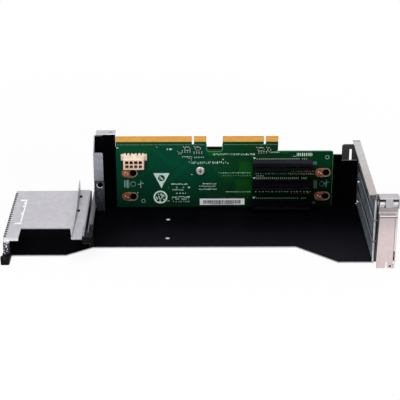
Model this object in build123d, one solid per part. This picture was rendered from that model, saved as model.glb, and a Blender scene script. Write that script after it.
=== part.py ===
from build123d import *
import os

# A riser cage for a rack server: a folded sheet cage, a riser board with three
# card slots on it, a side tray, and a door over the tabs of the slot covers.
#
# Frame, in millimetres. X runs along the board from its left edge. Y = 0 is the
# board's front face, and the cards plug in towards +Y. Z = 0 is the underside
# of the cage floor.

# Sheet stock and fits
sheet = 1.0
film = 0.4
cover_sheet = 0.9
latch_sheet = 0.8
fold_radius = 1.0
hole_clearance = 0.05
rivet_radius = 1.6
rivet_head_radius = 2.7
rivet_head_height = 1.1

# Riser board
board_length = 205.0
board_thickness = 1.6
board_lift = 1.6
shoulder_height = 57.1
notch_floor_rise = 1.4
tongue_rise = 14.9
tongue_gap = 15.4
board_corner = 2.2
notch_corner = 2.5
small_hole_radius = 0.9
small_hole_inset = 5.6
small_hole_drop = 6.2

# Card edge, to the common standard
contact_pitch = 1.0
contact_width = 0.7
contact_height = 5.5
contact_drop = 0.45
contact_thickness = 0.08
edge_bevel = 0.4
key_width = 1.9
key_depth = 8.2
short_segment = 11.65
x8_segment = 38.65
x16_segment = 71.65

# Card slots on the board
slot_count = 3
slot_pitch = 20.32
slot_first_height = 4.1
slot_left = 131.0
slot_end_wall = 1.9
slot_width = 7.5
slot_height = 11.25
slot_standoff = 0.5
slot_floor = 2.6
slot_card_gap = 1.8
slot_mouth = 0.45
slot_key_clearance = 0.1
slot_end_margin = 0.4
slot_shoulder = 0.7
slot_shoulder_height = 4.2
spring_thickness = 0.35
spring_recess = 0.2
spring_drop = 1.6

# Power header
header_centre = 17.0
header_height = 48.9
header_width = 19.2
header_depth = 13.0
header_thickness = 9.9
header_floor = 3.0
header_pitch = 4.2
header_columns = 4
header_cavity = 3.2
header_cavity_corner = 0.9
header_ear_width = 2.6
header_ear_depth = 2.5
header_ear_height = 5.6
header_rib_width = 1.9
header_rib_height = 0.9
header_latch_width = 4.6
header_latch_depth = 3.2
header_latch_height = 1.8
pin_size = 1.07
pin_recess = 2.0
pin_tail = 2.4
pin_hole_clearance = 0.06

# Keyholes, hooks and the screw that locks the board
hook_columns = (9.4, 192.6)
hook_rows = (11.0, 35.3)
keyhole_travel = 6.2
keyhole_radius = 3.5
keyhole_slot_radius = 2.0
keyhole_pad_margin = 0.9
keyhole_pad_edge = 0.35
keyhole_pad_thickness = 0.1
hook_neck_radius = 1.8
hook_head_radius = 3.1
hook_head_thickness = 1.2
hook_head_gap = 0.12
hook_body_radius = 3.4
screw_along = 79.5
screw_height = 37.6
screw_head_radius = 4.2
screw_head_height = 2.2
screw_shank_radius = 1.95
screw_length = 6.0
screw_hole_radius = 2.2
screw_recess_width = 0.9
screw_recess_length = 4.4
screw_recess_depth = 1.1
standoff_radius = 3.9

# Cage floor and back wall
back_gap = 8.0
panel_gap = 25.5
bracket_gap = 20.2
floor_reach = 84.2
tray_floor_reach = 100.2
left_slope_end = 17.9
left_slope_run = 23.0
right_slope_start = 165.3
right_slope_run = 34.9
wall_height = 73.8
wall_left_end = 0.8
wall_middle_height = 61.0
wall_middle_end = 148.0
wall_right_height = 52.9
wall_right_end = 214.3
wall_low_height = 46.9
wall_edge_gap = 0.6
wall_panel_gap = 1.0
film_inset = 0.5
film_flap_height = 6.4
top_flange_depth = 10.7
top_flange_inset = 0.4
top_hole_radius = 1.75
top_hole_inset = 4.4
top_hole_back = 4.6
floor_hole_radius = 2.1
floor_hole_along = 49.1
floor_hole_first = 25.0
floor_hole_spacing = 41.0
tab_width = 10.0
tab_height = 14.5
tab_rivet_height = 9.0
front_tab_inset = 1.6
back_tab_reach = 4.0

# Rear panel with its three windows
panel_height = 66.1
panel_reach = 115.6
panel_flange = 6.1
panel_front_flange = 19.0
panel_back_flange = 16.2
back_flange_height = 62.4
back_slit_inset = 7.2
back_slit_width = 2.2
back_slit_drop = 4.8
back_slit_height = 45.5
flange_hole_radius = 1.1
flange_hole_back = 34.0
window_height = 12.1
window_front_inset = 15.0
window_back_inset = 10.5
panel_rivet_along = 8.4
panel_rivet_rows = (12.0, 36.0)

# Slot covers
cover_width = 18.42
cover_offset = 3.8
cover_tab = 11.4
cover_tongue_width = 10.2
cover_tongue_length = 9.0
cover_back_reach = 4.5
cover_notch_radius = 2.2
cover_notch_depth = 3.4
cover_dot_radius = 1.0
cover_dot_back = 1.0
cover_dot_drop = 0.4

# End bracket at the left of the board
bracket_front = 5.6
bracket_strip_width = 9.2
bracket_strip_height = 61.1
bracket_top_gap = 0.8
bracket_joggle_height = 32.6
bracket_joggle = 1.0
bracket_tongue_inset = 1.7
bracket_tongue_width = 8.0
bracket_hole_radius = 2.5
bracket_hole_height = 28.0
bracket_button_radius = 1.2
bracket_button_height = 11.2
bracket_button_depth = 0.5
bracket_back_flange = 7.2
bracket_foot_flange = 9.0
low_wall_top = 23.4
low_wall_reach = 97.0
low_wall_overhang = 12.0
bracket_foot_reach = 64.0
bracket_rivet_rows = (16.0, 52.0)

# Side tray
tray_gap = 2.8
tray_width = 72.0
tray_top = 18.2
tray_back = 4.4
tray_reach = 102.4
tray_notch_left = 13.5
tray_notch_right = 14.2
tray_notch_front = 11.1
tray_notch_reach = 79.6
tray_bend_reach = 99.4
tray_front_radius = 4.5
tray_lip_drop = 1.7
tray_tab_width = 13.5
tray_leg_width = 5.8
tray_leg_bottom = 3.4
tray_flange = 9.0
tray_flange_reach = 70.0
tray_flange_end_gap = 5.0
leg_hole_radius = 0.75
leg_hole_pitch = 2.9
leg_hole_rows = 4
leg_hole_columns = 2
bead_inset = 7.1
bead_width = 5.5
bead_line = 1.1
bead_rise = 0.5
bead_back = 18.4
bead_length = 52.2
bead_ticks = 3
bead_tick_pitch = 6.5
bead_tick_length = 2.4
rib_foot_width = 9.4
rib_edge_gap = 1.5
rib_height = 10.8
rib_tip_height = 1.2
rib_reach = 79.0
rib_hole_radius = 1.15
rib_hole_inset = 1.6
rib_hole_back = (10.0, 42.0)
floor_rivet_rows = (20.0, 62.0)
tray_rivet_rows = (14.0, 60.0)

# Moulded foot and clip of the tray
foot_width = 7.7
foot_front_reach = 117.8
foot_height = 4.2
foot_wall = 1.0
foot_hook_height = 7.0
foot_hook_depth = 3.4
foot_hook_width = 1.8
foot_post_height = 9.4
foot_socket_clearance = 0.05
clip_wall = 3.3
clip_back_reach = 80.0
clip_back_height = 21.8
clip_block_bottom = 9.0
clip_nose_front = 105.4
clip_nose_top = 20.8
clip_nose_bottom = 14.5
clip_outer_length = 7.0
clip_lip = 1.6
clip_clearance = 0.05

# Door over the cover tabs, with its bracket and pin
hinge_overhang = 6.4
hinge_height = 60.4
pin_radius = 1.25
pin_head_radius = 1.8
pin_head_thickness = 0.6
knuckle_wall = 0.8
pin_running_gap = 0.06
latch_gap = 0.3
latch_width = 18.2
ear_bottom = 55.6
ear_overhang = 8.8
bracket_plate_bottom = 45.6
tongue_overhang = 9.7
tongue_width = 6.2
tongue_bottom = 57.5
knuckle_gap = 0.4
door_face_overhang = 11.9
door_back_overhang = 2.3
door_bottom = 6.4
door_flare = 1.0
ledge_height = 50.9
ledge_corner = 0.7
web_notch_bottom = 55.5
lip_bottom = 0.4
lip_setback = 0.7
lip_overlap = 1.6
lip_split = 1.5
lip_split_share = 0.53
lip_inset = 0.5
lip_hole_radius = 0.8
finger_slot_width = 1.4
finger_slot_inset = 1.1
finger_slot_bottom = 4.4
finger_slot_top = 17.0
latch_rivet_inset = 4.0
latch_rivet_rows = (49.6, 55.6)

# Label and small parts on the board
label_left = 79.0
label_width = 42.8
label_bottom = 2.1
label_height = 6.4
label_thickness = 0.1
chip_length = 1.6
chip_width = 0.8
chip_thickness = 0.6
capacitor_spots = ((62.6, 58.4), (73.6, 57.2), (134.6, 57.4))
resistor_spots = ((63.4, 53.2), (74.6, 52.6), (145.8, 57.6))
chip_row_count = 4
chip_row_pitch = 2.4

# Sizes that follow from the ones above
floor_top = sheet + film
board_bottom = floor_top + board_lift
shoulder_top = board_bottom + shoulder_height
notch_floor = shoulder_top + notch_floor_rise
tongue_top = shoulder_top + tongue_rise
wall_front = board_thickness + back_gap
wall_face = wall_front + film
wall_back = wall_face + sheet
panel_inner = board_length + panel_gap
panel_outer = panel_inner + sheet
web_inner = -bracket_gap
web_outer = web_inner - sheet
tray_right = web_outer - tray_gap
tray_left = tray_right - tray_width
wall_left = web_inner + wall_edge_gap
wall_right = panel_inner - wall_panel_gap
x16_length = x16_segment + key_width + short_segment
x8_length = x8_segment + key_width + short_segment
x8_start = x16_length + tongue_gap
slot_right = slot_left + x8_length
slot_key_left = slot_left + x8_segment
slot_heights = [board_bottom + slot_first_height + slot_pitch * i for i in range(slot_count)]
cover_heights = [height + cover_offset for height in slot_heights]
cover_inner = panel_inner - cover_sheet
hinge_reach = panel_reach + hinge_overhang
ear_front_reach = panel_reach + ear_overhang
tongue_reach = panel_reach + tongue_overhang
door_face_reach = panel_reach + door_face_overhang
door_back_reach = panel_reach + door_back_overhang
latch_left = panel_outer + latch_gap
latch_right = latch_left + latch_width
door_left = latch_left + latch_sheet + latch_gap
door_right = latch_right - latch_sheet - latch_gap
knuckle_radius = pin_radius + pin_running_gap + knuckle_wall
tongue_left = (door_left + door_right - tongue_width) / 2
tongue_right = tongue_left + tongue_width
header_rows = (header_height + board_bottom - header_pitch / 2,
               header_height + board_bottom + header_pitch / 2)


def block(x0, x1, y0, y1, z0, z1):
    """Box between two corners."""
    return Pos((x0 + x1) / 2, (y0 + y1) / 2, (z0 + z1) / 2) * Box(x1 - x0, y1 - y0, z1 - z0)


def rod_x(y, z, radius, x0, x1):
    """Cylinder along X."""
    return Pos((x0 + x1) / 2, y, z) * Rot(0, 90, 0) * Cylinder(radius, x1 - x0)


def rod_y(x, z, radius, y0, y1):
    """Cylinder along Y."""
    return Pos(x, (y0 + y1) / 2, z) * Rot(90, 0, 0) * Cylinder(radius, y1 - y0)


def rod_z(x, y, radius, z0, z1):
    """Cylinder along Z."""
    return Pos(x, y, (z0 + z1) / 2) * Cylinder(radius, z1 - z0)


def plan_plate(points, z0, z1):
    """Plate over an outline of (x, y) points."""
    face = make_face(Polyline([(x, y, z0) for x, y in points], close=True))
    return extrude(face, amount=z1 - z0, dir=(0, 0, 1))


def front_plate(points, y0, y1):
    """Plate over an outline of (x, z) points."""
    face = make_face(Polyline([(x, y0, z) for x, z in points], close=True))
    return extrude(face, amount=y1 - y0, dir=(0, 1, 0))


def side_plate(points, x0, x1):
    """Plate over an outline of (y, z) points."""
    face = make_face(Polyline([(x0, y, z) for y, z in points], close=True))
    return extrude(face, amount=x1 - x0, dir=(1, 0, 0))


def edges_at(shape, axis, **place):
    """Edges parallel to an axis whose middles lie at the given coordinates."""
    found = shape.edges().filter_by(axis)
    for letter, value in place.items():
        found = found.filter_by(lambda e: abs(getattr(e.center(), letter) - value) < 0.01)
    return found


def group(solids):
    """Separate solids of one node."""
    return Compound(list(solids))


def stadium(x0, x1, z, radius, y0, y1):
    """Plate with round ends, between two centres in a row."""
    body = rod_y(x0, z, radius, y0, y1) + rod_y(x1, z, radius, y0, y1)
    return body + block(x0, x1, y0, y1, z - radius, z + radius)


# Cage

def floor_outline(inset, back, left, right):
    """Outline of the cage floor in plan, with its stepped front edge."""
    front = -panel_reach + inset
    middle = -floor_reach + inset
    tray_front = -tray_floor_reach + inset
    return [
        (left, tray_back - inset),
        (left, tray_front),
        (-left_slope_end - left_slope_run, tray_front),
        (-left_slope_end, middle),
        (right_slope_start, middle),
        (right_slope_start + right_slope_run, front),
        (right, front),
        (right, back),
        (wall_left + inset, back),
        (wall_left + inset, tray_back - inset),
    ]


def wall_outline(inset, bottom):
    """Outline of the back wall, with its stepped top edge."""
    return [
        (wall_left + inset, bottom),
        (wall_left + inset, wall_height - inset),
        (-wall_left_end, wall_height - inset),
        (-wall_left_end, wall_middle_height - inset),
        (wall_middle_end, wall_middle_height - inset),
        (wall_middle_end, wall_right_height - inset),
        (wall_right_end, wall_right_height - inset),
        (wall_right_end, wall_low_height - inset),
        (wall_right, wall_low_height - inset),
        (wall_right, bottom),
    ]


def floor_holes(z0, z1):
    """Cutters for the two holes in the floor."""
    first = -floor_hole_first
    second = first - floor_hole_spacing
    return [rod_z(floor_hole_along, y, floor_hole_radius, z0, z1) for y in (first, second)]


def floor_rivet_spots():
    """Places of the rivets that hold the tray and the end bracket on the floor."""
    shared = tray_right - sheet - bracket_foot_flange / 3
    outer = tray_left + sheet + tray_flange / 2
    inner = [(shared, -y, 3 * sheet + film) for y in floor_rivet_rows]
    return inner + [(outer, -y, 2 * sheet + film) for y in tray_rivet_rows]


def wall_rivet_spots():
    """Places of the rivets that hold the end bracket on the back wall."""
    along = web_inner + bracket_back_flange / 2
    return [(along, z) for z in bracket_rivet_rows]


def panel_rivet_spots():
    """Places of the rivets through the panel's back flange."""
    return [(panel_inner - panel_rivet_along, z) for z in panel_rivet_rows]


def tab_rivet_spots():
    """Places, as (y, z), of the rivets through the floor's upturned tabs."""
    front = -panel_reach + front_tab_inset + tab_width / 2
    back = back_tab_reach - tab_width / 2
    return [(y, floor_top + tab_rivet_height - film) for y in (front, back)]


def hook_spots():
    """Places of the four hooks as (x, z)."""
    return [(x, board_bottom + z) for x in hook_columns for z in hook_rows]


def make_cage_shell():
    """Floor, back wall, left top flange and two upturned tabs, folded from one sheet."""
    left = tray_left
    shell = plan_plate(floor_outline(0.0, wall_back, left, panel_outer), 0, sheet)
    shell += front_plate(wall_outline(0.0, 0.0), wall_face, wall_back)
    flange_left = wall_left + top_flange_inset
    flange_back = wall_face + top_flange_depth
    shell += block(flange_left, -wall_left_end, wall_face, flange_back, wall_height - sheet, wall_height)
    for y, _ in tab_rivet_spots():
        y0, y1 = y - tab_width / 2, y + tab_width / 2
        shell += block(panel_outer, panel_outer + sheet, y0, y1, 0, tab_height)
    folds = edges_at(shell, Axis.X, Y=wall_back, Z=0)
    folds += edges_at(shell, Axis.X, Y=wall_face, Z=wall_height)
    folds += edges_at(shell, Axis.Y, X=panel_outer + sheet, Z=0)
    shell = fillet(folds, fold_radius * 0.9)
    shell = fillet(edges_at(shell, Axis.Z, X=flange_left, Y=flange_back), 2.0)
    shell -= rod_z(-top_hole_inset - wall_left_end, wall_face + top_hole_back, top_hole_radius,
                   wall_height - 2 * sheet, wall_height + sheet)
    shell -= floor_holes(-sheet, 2 * sheet)
    for x, y, _ in floor_rivet_spots():
        shell -= rod_z(x, y, rivet_radius + hole_clearance, -sheet, 2 * sheet)
    for x, z in wall_rivet_spots() + panel_rivet_spots():
        shell -= rod_y(x, z, rivet_radius + hole_clearance, wall_face - sheet, wall_back + sheet)
    for y, z in tab_rivet_spots():
        shell -= rod_x(y, z, rivet_radius + hole_clearance, panel_outer, panel_outer + 2 * sheet)
    return shell


def make_insulator_film():
    """Black film over the floor, folded once up the front of the back wall."""
    left = tray_left + film_inset
    right = cover_inner - hole_clearance
    skin = plan_plate(floor_outline(film_inset, wall_face, left, right), sheet, floor_top)
    wall = front_plate(wall_outline(film_inset, sheet), wall_front, wall_face)
    skin += wall & block(left, right, 0, wall_back, 0, wall_height)
    skin += block(web_inner, web_inner + film, -clip_back_reach + hole_clearance,
                  -bracket_front + bracket_joggle, sheet, film_flap_height)
    skin = fillet(edges_at(skin, Axis.X, Y=wall_face, Z=sheet), film * 0.9)
    skin -= floor_holes(0, 2 * floor_top)
    for x, y, _ in floor_rivet_spots():
        skin -= rod_z(x, y, rivet_radius + hole_clearance, 0, 2 * floor_top)
    for x, z in wall_rivet_spots():
        skin -= rod_y(x, z, rivet_radius + hole_clearance, 0, wall_back)
    for x, z in hook_spots():
        skin -= rod_y(x, z, hook_body_radius + hole_clearance, board_thickness, wall_back)
    skin -= rod_y(screw_along, board_bottom + screw_height, standoff_radius + hole_clearance,
                  board_thickness, wall_back)
    return skin


def make_end_bracket():
    """Upright channel with its strip, free tongue and low wall, folded from one sheet."""
    back = wall_front
    front = -bracket_front
    top = wall_height - bracket_top_gap
    web = side_plate([
        (back, floor_top),
        (back, top),
        (back - sheet, top),
        (front, bracket_strip_height),
        (front, low_wall_top),
        (-low_wall_reach, low_wall_top),
        (-low_wall_reach, low_wall_overhang),
        (-floor_reach, low_wall_overhang),
        (-floor_reach, floor_top),
    ], web_outer, web_inner)
    strip_right = web_outer + bracket_strip_width
    tongue_x0 = web_outer + bracket_tongue_inset
    tongue_x1 = tongue_x0 + bracket_tongue_width
    tongue_y = front + bracket_joggle
    joggle_low = bracket_joggle_height - 2 * bracket_joggle
    strip = block(web_outer, strip_right, front, front + sheet, bracket_joggle_height, bracket_strip_height)
    bend_piece = side_plate([
        (front, bracket_joggle_height),
        (front + sheet, bracket_joggle_height),
        (tongue_y + sheet, joggle_low),
        (tongue_y, joggle_low),
    ], tongue_x0, tongue_x1)
    tongue = block(tongue_x0, tongue_x1, tongue_y, tongue_y + sheet, floor_top, joggle_low)
    relief = block(web_outer - sheet, web_inner + sheet, front - sheet, tongue_y + 2 * sheet,
                   low_wall_top + sheet, bracket_joggle_height)
    body = web - relief + strip + bend_piece + tongue
    flange_end = web_inner + bracket_back_flange
    body += block(web_outer, flange_end, back - sheet, back, floor_top, top)
    body += block(web_outer - bracket_foot_flange, web_outer, -bracket_foot_reach, -bracket_front * 2,
                  floor_top, floor_top + sheet)
    folds = edges_at(body, Axis.Z, X=web_outer, Y=front).sort_by(SortBy.LENGTH)[-1:]
    folds += edges_at(body, Axis.Z, X=web_outer, Y=back)
    body = fillet(folds, fold_radius * 0.9)
    body = fillet(edges_at(body, Axis.Y, X=strip_right, Z=bracket_strip_height), 1.5)
    hole_x = (tongue_x0 + tongue_x1) / 2
    body -= rod_y(hole_x, bracket_hole_height, bracket_hole_radius, front - sheet, tongue_y + 2 * sheet)
    body += rod_y(hole_x, bracket_button_height, bracket_button_radius,
                  tongue_y - bracket_button_depth, tongue_y)
    for x, z in wall_rivet_spots():
        body -= rod_y(x, z, rivet_radius + hole_clearance, back - 2 * sheet, back + sheet)
    for x, y, _ in floor_rivet_spots()[:2]:
        body -= rod_z(x, y, rivet_radius + hole_clearance, floor_top - sheet, floor_top + 2 * sheet)
    return body


def make_flange_film():
    """Black film on the bracket's back flange, above the upper rivet."""
    face = wall_front - sheet
    left = web_inner + hole_clearance
    bottom = bracket_rivet_rows[-1] + rivet_head_radius + hole_clearance
    top = wall_height - bracket_top_gap - film_inset
    return block(left, web_inner + bracket_back_flange, face - film, face, bottom, top)


# Rear panel and its covers

def make_slot_panel():
    """Panel with three windows and four flanges: top, front and back."""
    top = panel_height
    front = -panel_reach
    body = block(panel_inner, panel_outer, front, wall_back + sheet, sheet, top)
    body += block(panel_inner - panel_flange, panel_outer, front, wall_back + sheet, top - sheet, top)
    body += block(panel_inner, panel_outer + panel_front_flange, front, front + sheet, floor_top, top)
    back = block(panel_inner - panel_back_flange, panel_outer, wall_back, wall_back + sheet,
                 floor_top, back_flange_height)
    slit_left = panel_inner - panel_back_flange + back_slit_inset
    back -= block(slit_left, slit_left + back_slit_width, wall_face, wall_back + 2 * sheet,
                  back_slit_height, back_flange_height - back_slit_drop)
    back = fillet(edges_at(back, Axis.Y, X=panel_inner - panel_back_flange, Z=back_flange_height), 2.5)
    body += back
    folds = edges_at(body, Axis.Z, X=panel_outer, Y=wall_back + sheet)
    folds += edges_at(body, Axis.Y, X=panel_outer, Z=top)
    body = fillet(folds, fold_radius * 0.9)
    body = fillet(edges_at(body, Axis.Y, X=panel_outer + panel_front_flange, Z=top), 2.0)
    for height in cover_heights:
        body -= block(panel_inner - sheet, panel_outer + sheet, front + window_front_inset,
                      -window_back_inset, height - window_height / 2, height + window_height / 2)
        body -= rod_x(cover_dot_back, height - cover_offset - cover_dot_drop, cover_dot_radius,
                      panel_inner - sheet, panel_outer + sheet)
    body -= rod_z(panel_inner - panel_flange / 2, -flange_hole_back, flange_hole_radius,
                  top - 2 * sheet, top + sheet)
    for x, z in panel_rivet_spots():
        body -= rod_y(x, z, rivet_radius + hole_clearance, wall_back - sheet, wall_back + 2 * sheet)
    for y, z in tab_rivet_spots():
        body -= rod_x(y, z, rivet_radius + hole_clearance, panel_inner - sheet, panel_outer + sheet)
    for x, z in latch_rivet_spots():
        body -= rod_y(x, z, rivet_radius + hole_clearance, front - sheet, front + 2 * sheet)
    return body


def make_slot_cover(height):
    """Blank over one window, with its front tab, screw notch and narrow back tongue."""
    half = cover_width / 2
    tongue = cover_tongue_width / 2
    taper = half - tongue
    front = -panel_reach - cover_sheet
    narrow = cover_back_reach - cover_tongue_length
    body = side_plate([
        (front, height - half),
        (front, height + half),
        (narrow - taper, height + half),
        (narrow, height + tongue),
        (cover_back_reach, height + tongue),
        (cover_back_reach, height - tongue),
        (narrow, height - tongue),
        (narrow - taper, height - half),
    ], cover_inner, panel_inner)
    tab_end = cover_inner + cover_tab
    body += block(cover_inner, tab_end, front, -panel_reach, height - half, height + half)
    notch_x = tab_end - cover_notch_depth
    notch = rod_y(notch_x, height, cover_notch_radius, front - sheet, -panel_reach + sheet)
    notch += block(notch_x, tab_end + sheet, front - sheet, -panel_reach + sheet,
                   height - cover_notch_radius, height + cover_notch_radius)
    body -= notch
    body = fillet(edges_at(body, Axis.Z, X=cover_inner, Y=front), cover_sheet)
    body -= rod_x(cover_dot_back, height - cover_offset - cover_dot_drop, cover_dot_radius,
                  cover_inner - sheet, panel_inner + sheet)
    return body


# Side tray

def make_side_tray():
    """Shelf with its notch, two walls with foot flanges, curved front tab and leg."""
    back = tray_back
    front = -tray_reach
    notch_x0 = tray_left + tray_notch_left
    notch_x1 = tray_right - tray_notch_right
    notch_y = -tray_notch_reach
    under = tray_top - sheet
    bend_y = -tray_bend_reach
    shelf = plan_plate([
        (tray_left, bend_y),
        (tray_left, back),
        (tray_right, back),
        (tray_right, front),
        (tray_right - tray_notch_front, front),
        (notch_x1, notch_y),
        (notch_x0, notch_y),
        (notch_x0, bend_y),
    ], under, tray_top)
    body = shelf
    body += block(tray_left, tray_left + sheet, bend_y, back, floor_top, tray_top)
    flange_back = back - tray_flange_end_gap
    body += block(tray_left, tray_left + tray_flange, -tray_flange_reach, flange_back, floor_top,
                  floor_top + sheet)
    body += block(tray_right - sheet, tray_right, -floor_reach, back, floor_top + sheet, tray_top)
    body += block(tray_right - tray_flange, tray_right, -tray_flange_reach, flange_back,
                  floor_top + sheet, floor_top + 2 * sheet)
    body += tray_front_fold(bend_y)
    body += tray_bead()
    folds = edges_at(body, Axis.Y, X=tray_left, Z=tray_top)
    folds += edges_at(body, Axis.Y, X=tray_right, Z=tray_top)
    body = fillet(folds, fold_radius * 0.9)
    for y in rib_hole_back:
        body -= rod_z(rib_hole_along(), -y, rib_hole_radius, under - sheet, tray_top + sheet)
    for x, y, top in floor_rivet_spots():
        body -= rod_z(x, y, rivet_radius + hole_clearance, floor_top, top + sheet / 2)
    return body


def tray_front_fold(bend_y):
    """Curved front of the left tab, with the perforated leg below it."""
    radius = tray_front_radius
    centre_z = tray_top - radius
    face_y = bend_y - radius
    tab_right = tray_left + tray_tab_width
    ring = rod_x(bend_y, centre_z, radius, tray_left, tab_right)
    ring -= rod_x(bend_y, centre_z, radius - sheet, tray_left - sheet, tab_right + sheet)
    leg_right = tray_left + tray_leg_width
    curve = ring & block(tray_left, leg_right, face_y, bend_y, centre_z, tray_top)
    curve += ring & block(leg_right, tab_right, face_y, bend_y, tray_top - tray_lip_drop, tray_top)
    leg = block(tray_left, leg_right, face_y, face_y + sheet, tray_leg_bottom, centre_z)
    column_gap = tray_leg_width / (leg_hole_columns + 1)
    for column in range(leg_hole_columns):
        for row in range(leg_hole_rows):
            x = tray_left + column_gap * (column + 1)
            z = centre_z - leg_hole_pitch * (row + 0.5 * column)
            if z > tray_leg_bottom + foot_height:
                leg -= rod_y(x, z, leg_hole_radius, face_y - sheet, face_y + 2 * sheet)
    return curve + leg


def tray_bead():
    """Raised bead on the shelf: a long line, an arm at each end and short ticks."""
    x1 = tray_left + bead_inset + bead_width
    y1 = -bead_back
    y0 = y1 - bead_length
    z0, z1 = tray_top, tray_top + bead_rise
    bead = block(x1 - bead_line, x1, y0, y1, z0, z1)
    for y in (y0, y1 - bead_line):
        bead += block(x1 - bead_width, x1, y, y + bead_line, z0, z1)
    for tick in range(bead_ticks):
        y = y1 - bead_tick_pitch * (tick + 1)
        bead += block(x1 - bead_line - bead_tick_length, x1, y, y + bead_line, z0, z1)
    return bead


def rib_right():
    """Right edge of the rib's foot."""
    return tray_right - rib_edge_gap


def rib_hole_along():
    """Place along X of the holes through the rib's foot and the shelf."""
    return rib_right() - rib_foot_width + rib_hole_inset


def make_tray_rib():
    """Angle strip on the shelf with a fin that tapers towards the front."""
    foot_left = rib_right() - rib_foot_width
    bottom = tray_top
    foot_top = bottom + latch_sheet
    body = block(foot_left - latch_sheet, rib_right(), -rib_reach, tray_back, bottom, foot_top)
    body += side_plate([
        (tray_back, bottom),
        (tray_back, bottom + rib_height),
        (-rib_reach, bottom + rib_tip_height),
        (-rib_reach, bottom),
    ], foot_left - latch_sheet, foot_left)
    body = fillet(edges_at(body, Axis.Y, X=foot_left - latch_sheet, Z=bottom), latch_sheet * 0.9)
    for y in rib_hole_back:
        body -= rod_z(rib_hole_along(), -y, rib_hole_radius, bottom - sheet, foot_top + sheet)
    return body


def make_tray_foot():
    """Moulded foot that the leg stands in, with a toe to the front and a hook."""
    face_y = -tray_bend_reach - tray_front_radius
    left = tray_left - foot_wall
    right = left + foot_width
    back = -tray_floor_reach - foot_socket_clearance
    body = block(left, right, -foot_front_reach, back, 0, foot_height)
    body = fillet(edges_at(body, Axis.Z, Y=-foot_front_reach), 1.5)
    body = chamfer(edges_at(body, Axis.X, Y=-foot_front_reach, Z=foot_height), 0.8)
    hook_front = -foot_front_reach + foot_wall
    body += block(left, left + foot_hook_width, hook_front, hook_front + foot_hook_depth,
                  foot_height - sheet, foot_hook_height)
    gap = foot_socket_clearance
    body += block(tray_left + tray_leg_width + gap, right, face_y - sheet, back, foot_height - sheet,
                  foot_post_height)
    body -= block(tray_left - gap, tray_left + tray_leg_width + gap, face_y - gap, face_y + sheet + gap,
                  tray_leg_bottom, foot_hook_height + sheet)
    return body


def make_corner_clip():
    """Moulded clip on the low wall's front end, with a nose that caps the tray's corner."""
    gap = clip_clearance
    left = tray_right + gap
    right = web_inner + clip_wall
    nose_back = -low_wall_reach - gap
    body = side_plate([
        (-clip_back_reach, floor_top),
        (-clip_back_reach, clip_back_height),
        (nose_back, clip_nose_top),
        (nose_back, clip_nose_bottom),
        (-floor_reach, clip_block_bottom),
        (-floor_reach, floor_top),
    ], web_inner + gap, right)
    nose = block(left, right, -clip_nose_front, nose_back, clip_nose_bottom, clip_nose_top)
    nose += block(left - clip_lip, left, -clip_nose_front, -tray_reach - gap, clip_nose_bottom,
                  clip_nose_top)
    nose = fillet(edges_at(nose, Axis.X, Y=-clip_nose_front), 1.0)
    outer = block(left, web_outer - gap, nose_back, nose_back + clip_outer_length, clip_nose_bottom,
                  clip_nose_top)
    return body + nose + outer


# Door, bracket and pin

def latch_rivet_spots():
    """Places of the rivets that hold the latch bracket."""
    return [(latch_right - latch_rivet_inset, z) for z in latch_rivet_rows]


def make_latch_bracket():
    """Fixed bracket: base plate, top plate, two ears and a tongue over the pin."""
    back = -panel_reach
    front = -tongue_reach
    thick = latch_sheet
    tab_end = cover_inner + cover_tab
    cover_top = cover_heights[-1] + cover_width / 2
    body = block(latch_left, latch_right, back - thick, back, cover_top + latch_gap, panel_height)
    body += block(tab_end + latch_gap, latch_right, back - thick, back, bracket_plate_bottom, panel_height)
    body += block(latch_left, latch_right, front, back, panel_height - thick, panel_height)
    seat = back - cover_sheet - latch_gap
    for x0 in (latch_left, latch_right - thick):
        body += side_plate([
            (back, cover_top + latch_gap),
            (back, panel_height),
            (-ear_front_reach, panel_height),
            (-ear_front_reach, ear_bottom + thick),
            (-ear_front_reach + thick, ear_bottom),
            (seat, ear_bottom),
            (seat, cover_top + latch_gap),
        ], x0, x0 + thick)
    body += block(tongue_left, tongue_right, front, front + thick, tongue_bottom, panel_height)
    body = fillet(edges_at(body, Axis.X, Y=front, Z=panel_height), thick * 0.9)
    body = fillet(edges_at(body, Axis.Y, X=tongue_left, Z=tongue_bottom)
                  + edges_at(body, Axis.Y, X=tongue_right, Z=tongue_bottom), 1.2)
    body -= rod_x(-hinge_reach, hinge_height, pin_radius + hole_clearance, latch_left - thick,
                  latch_right + thick)
    for x, z in latch_rivet_spots():
        body -= rod_y(x, z, rivet_radius + hole_clearance, back - 2 * thick, back + thick)
    return body


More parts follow.
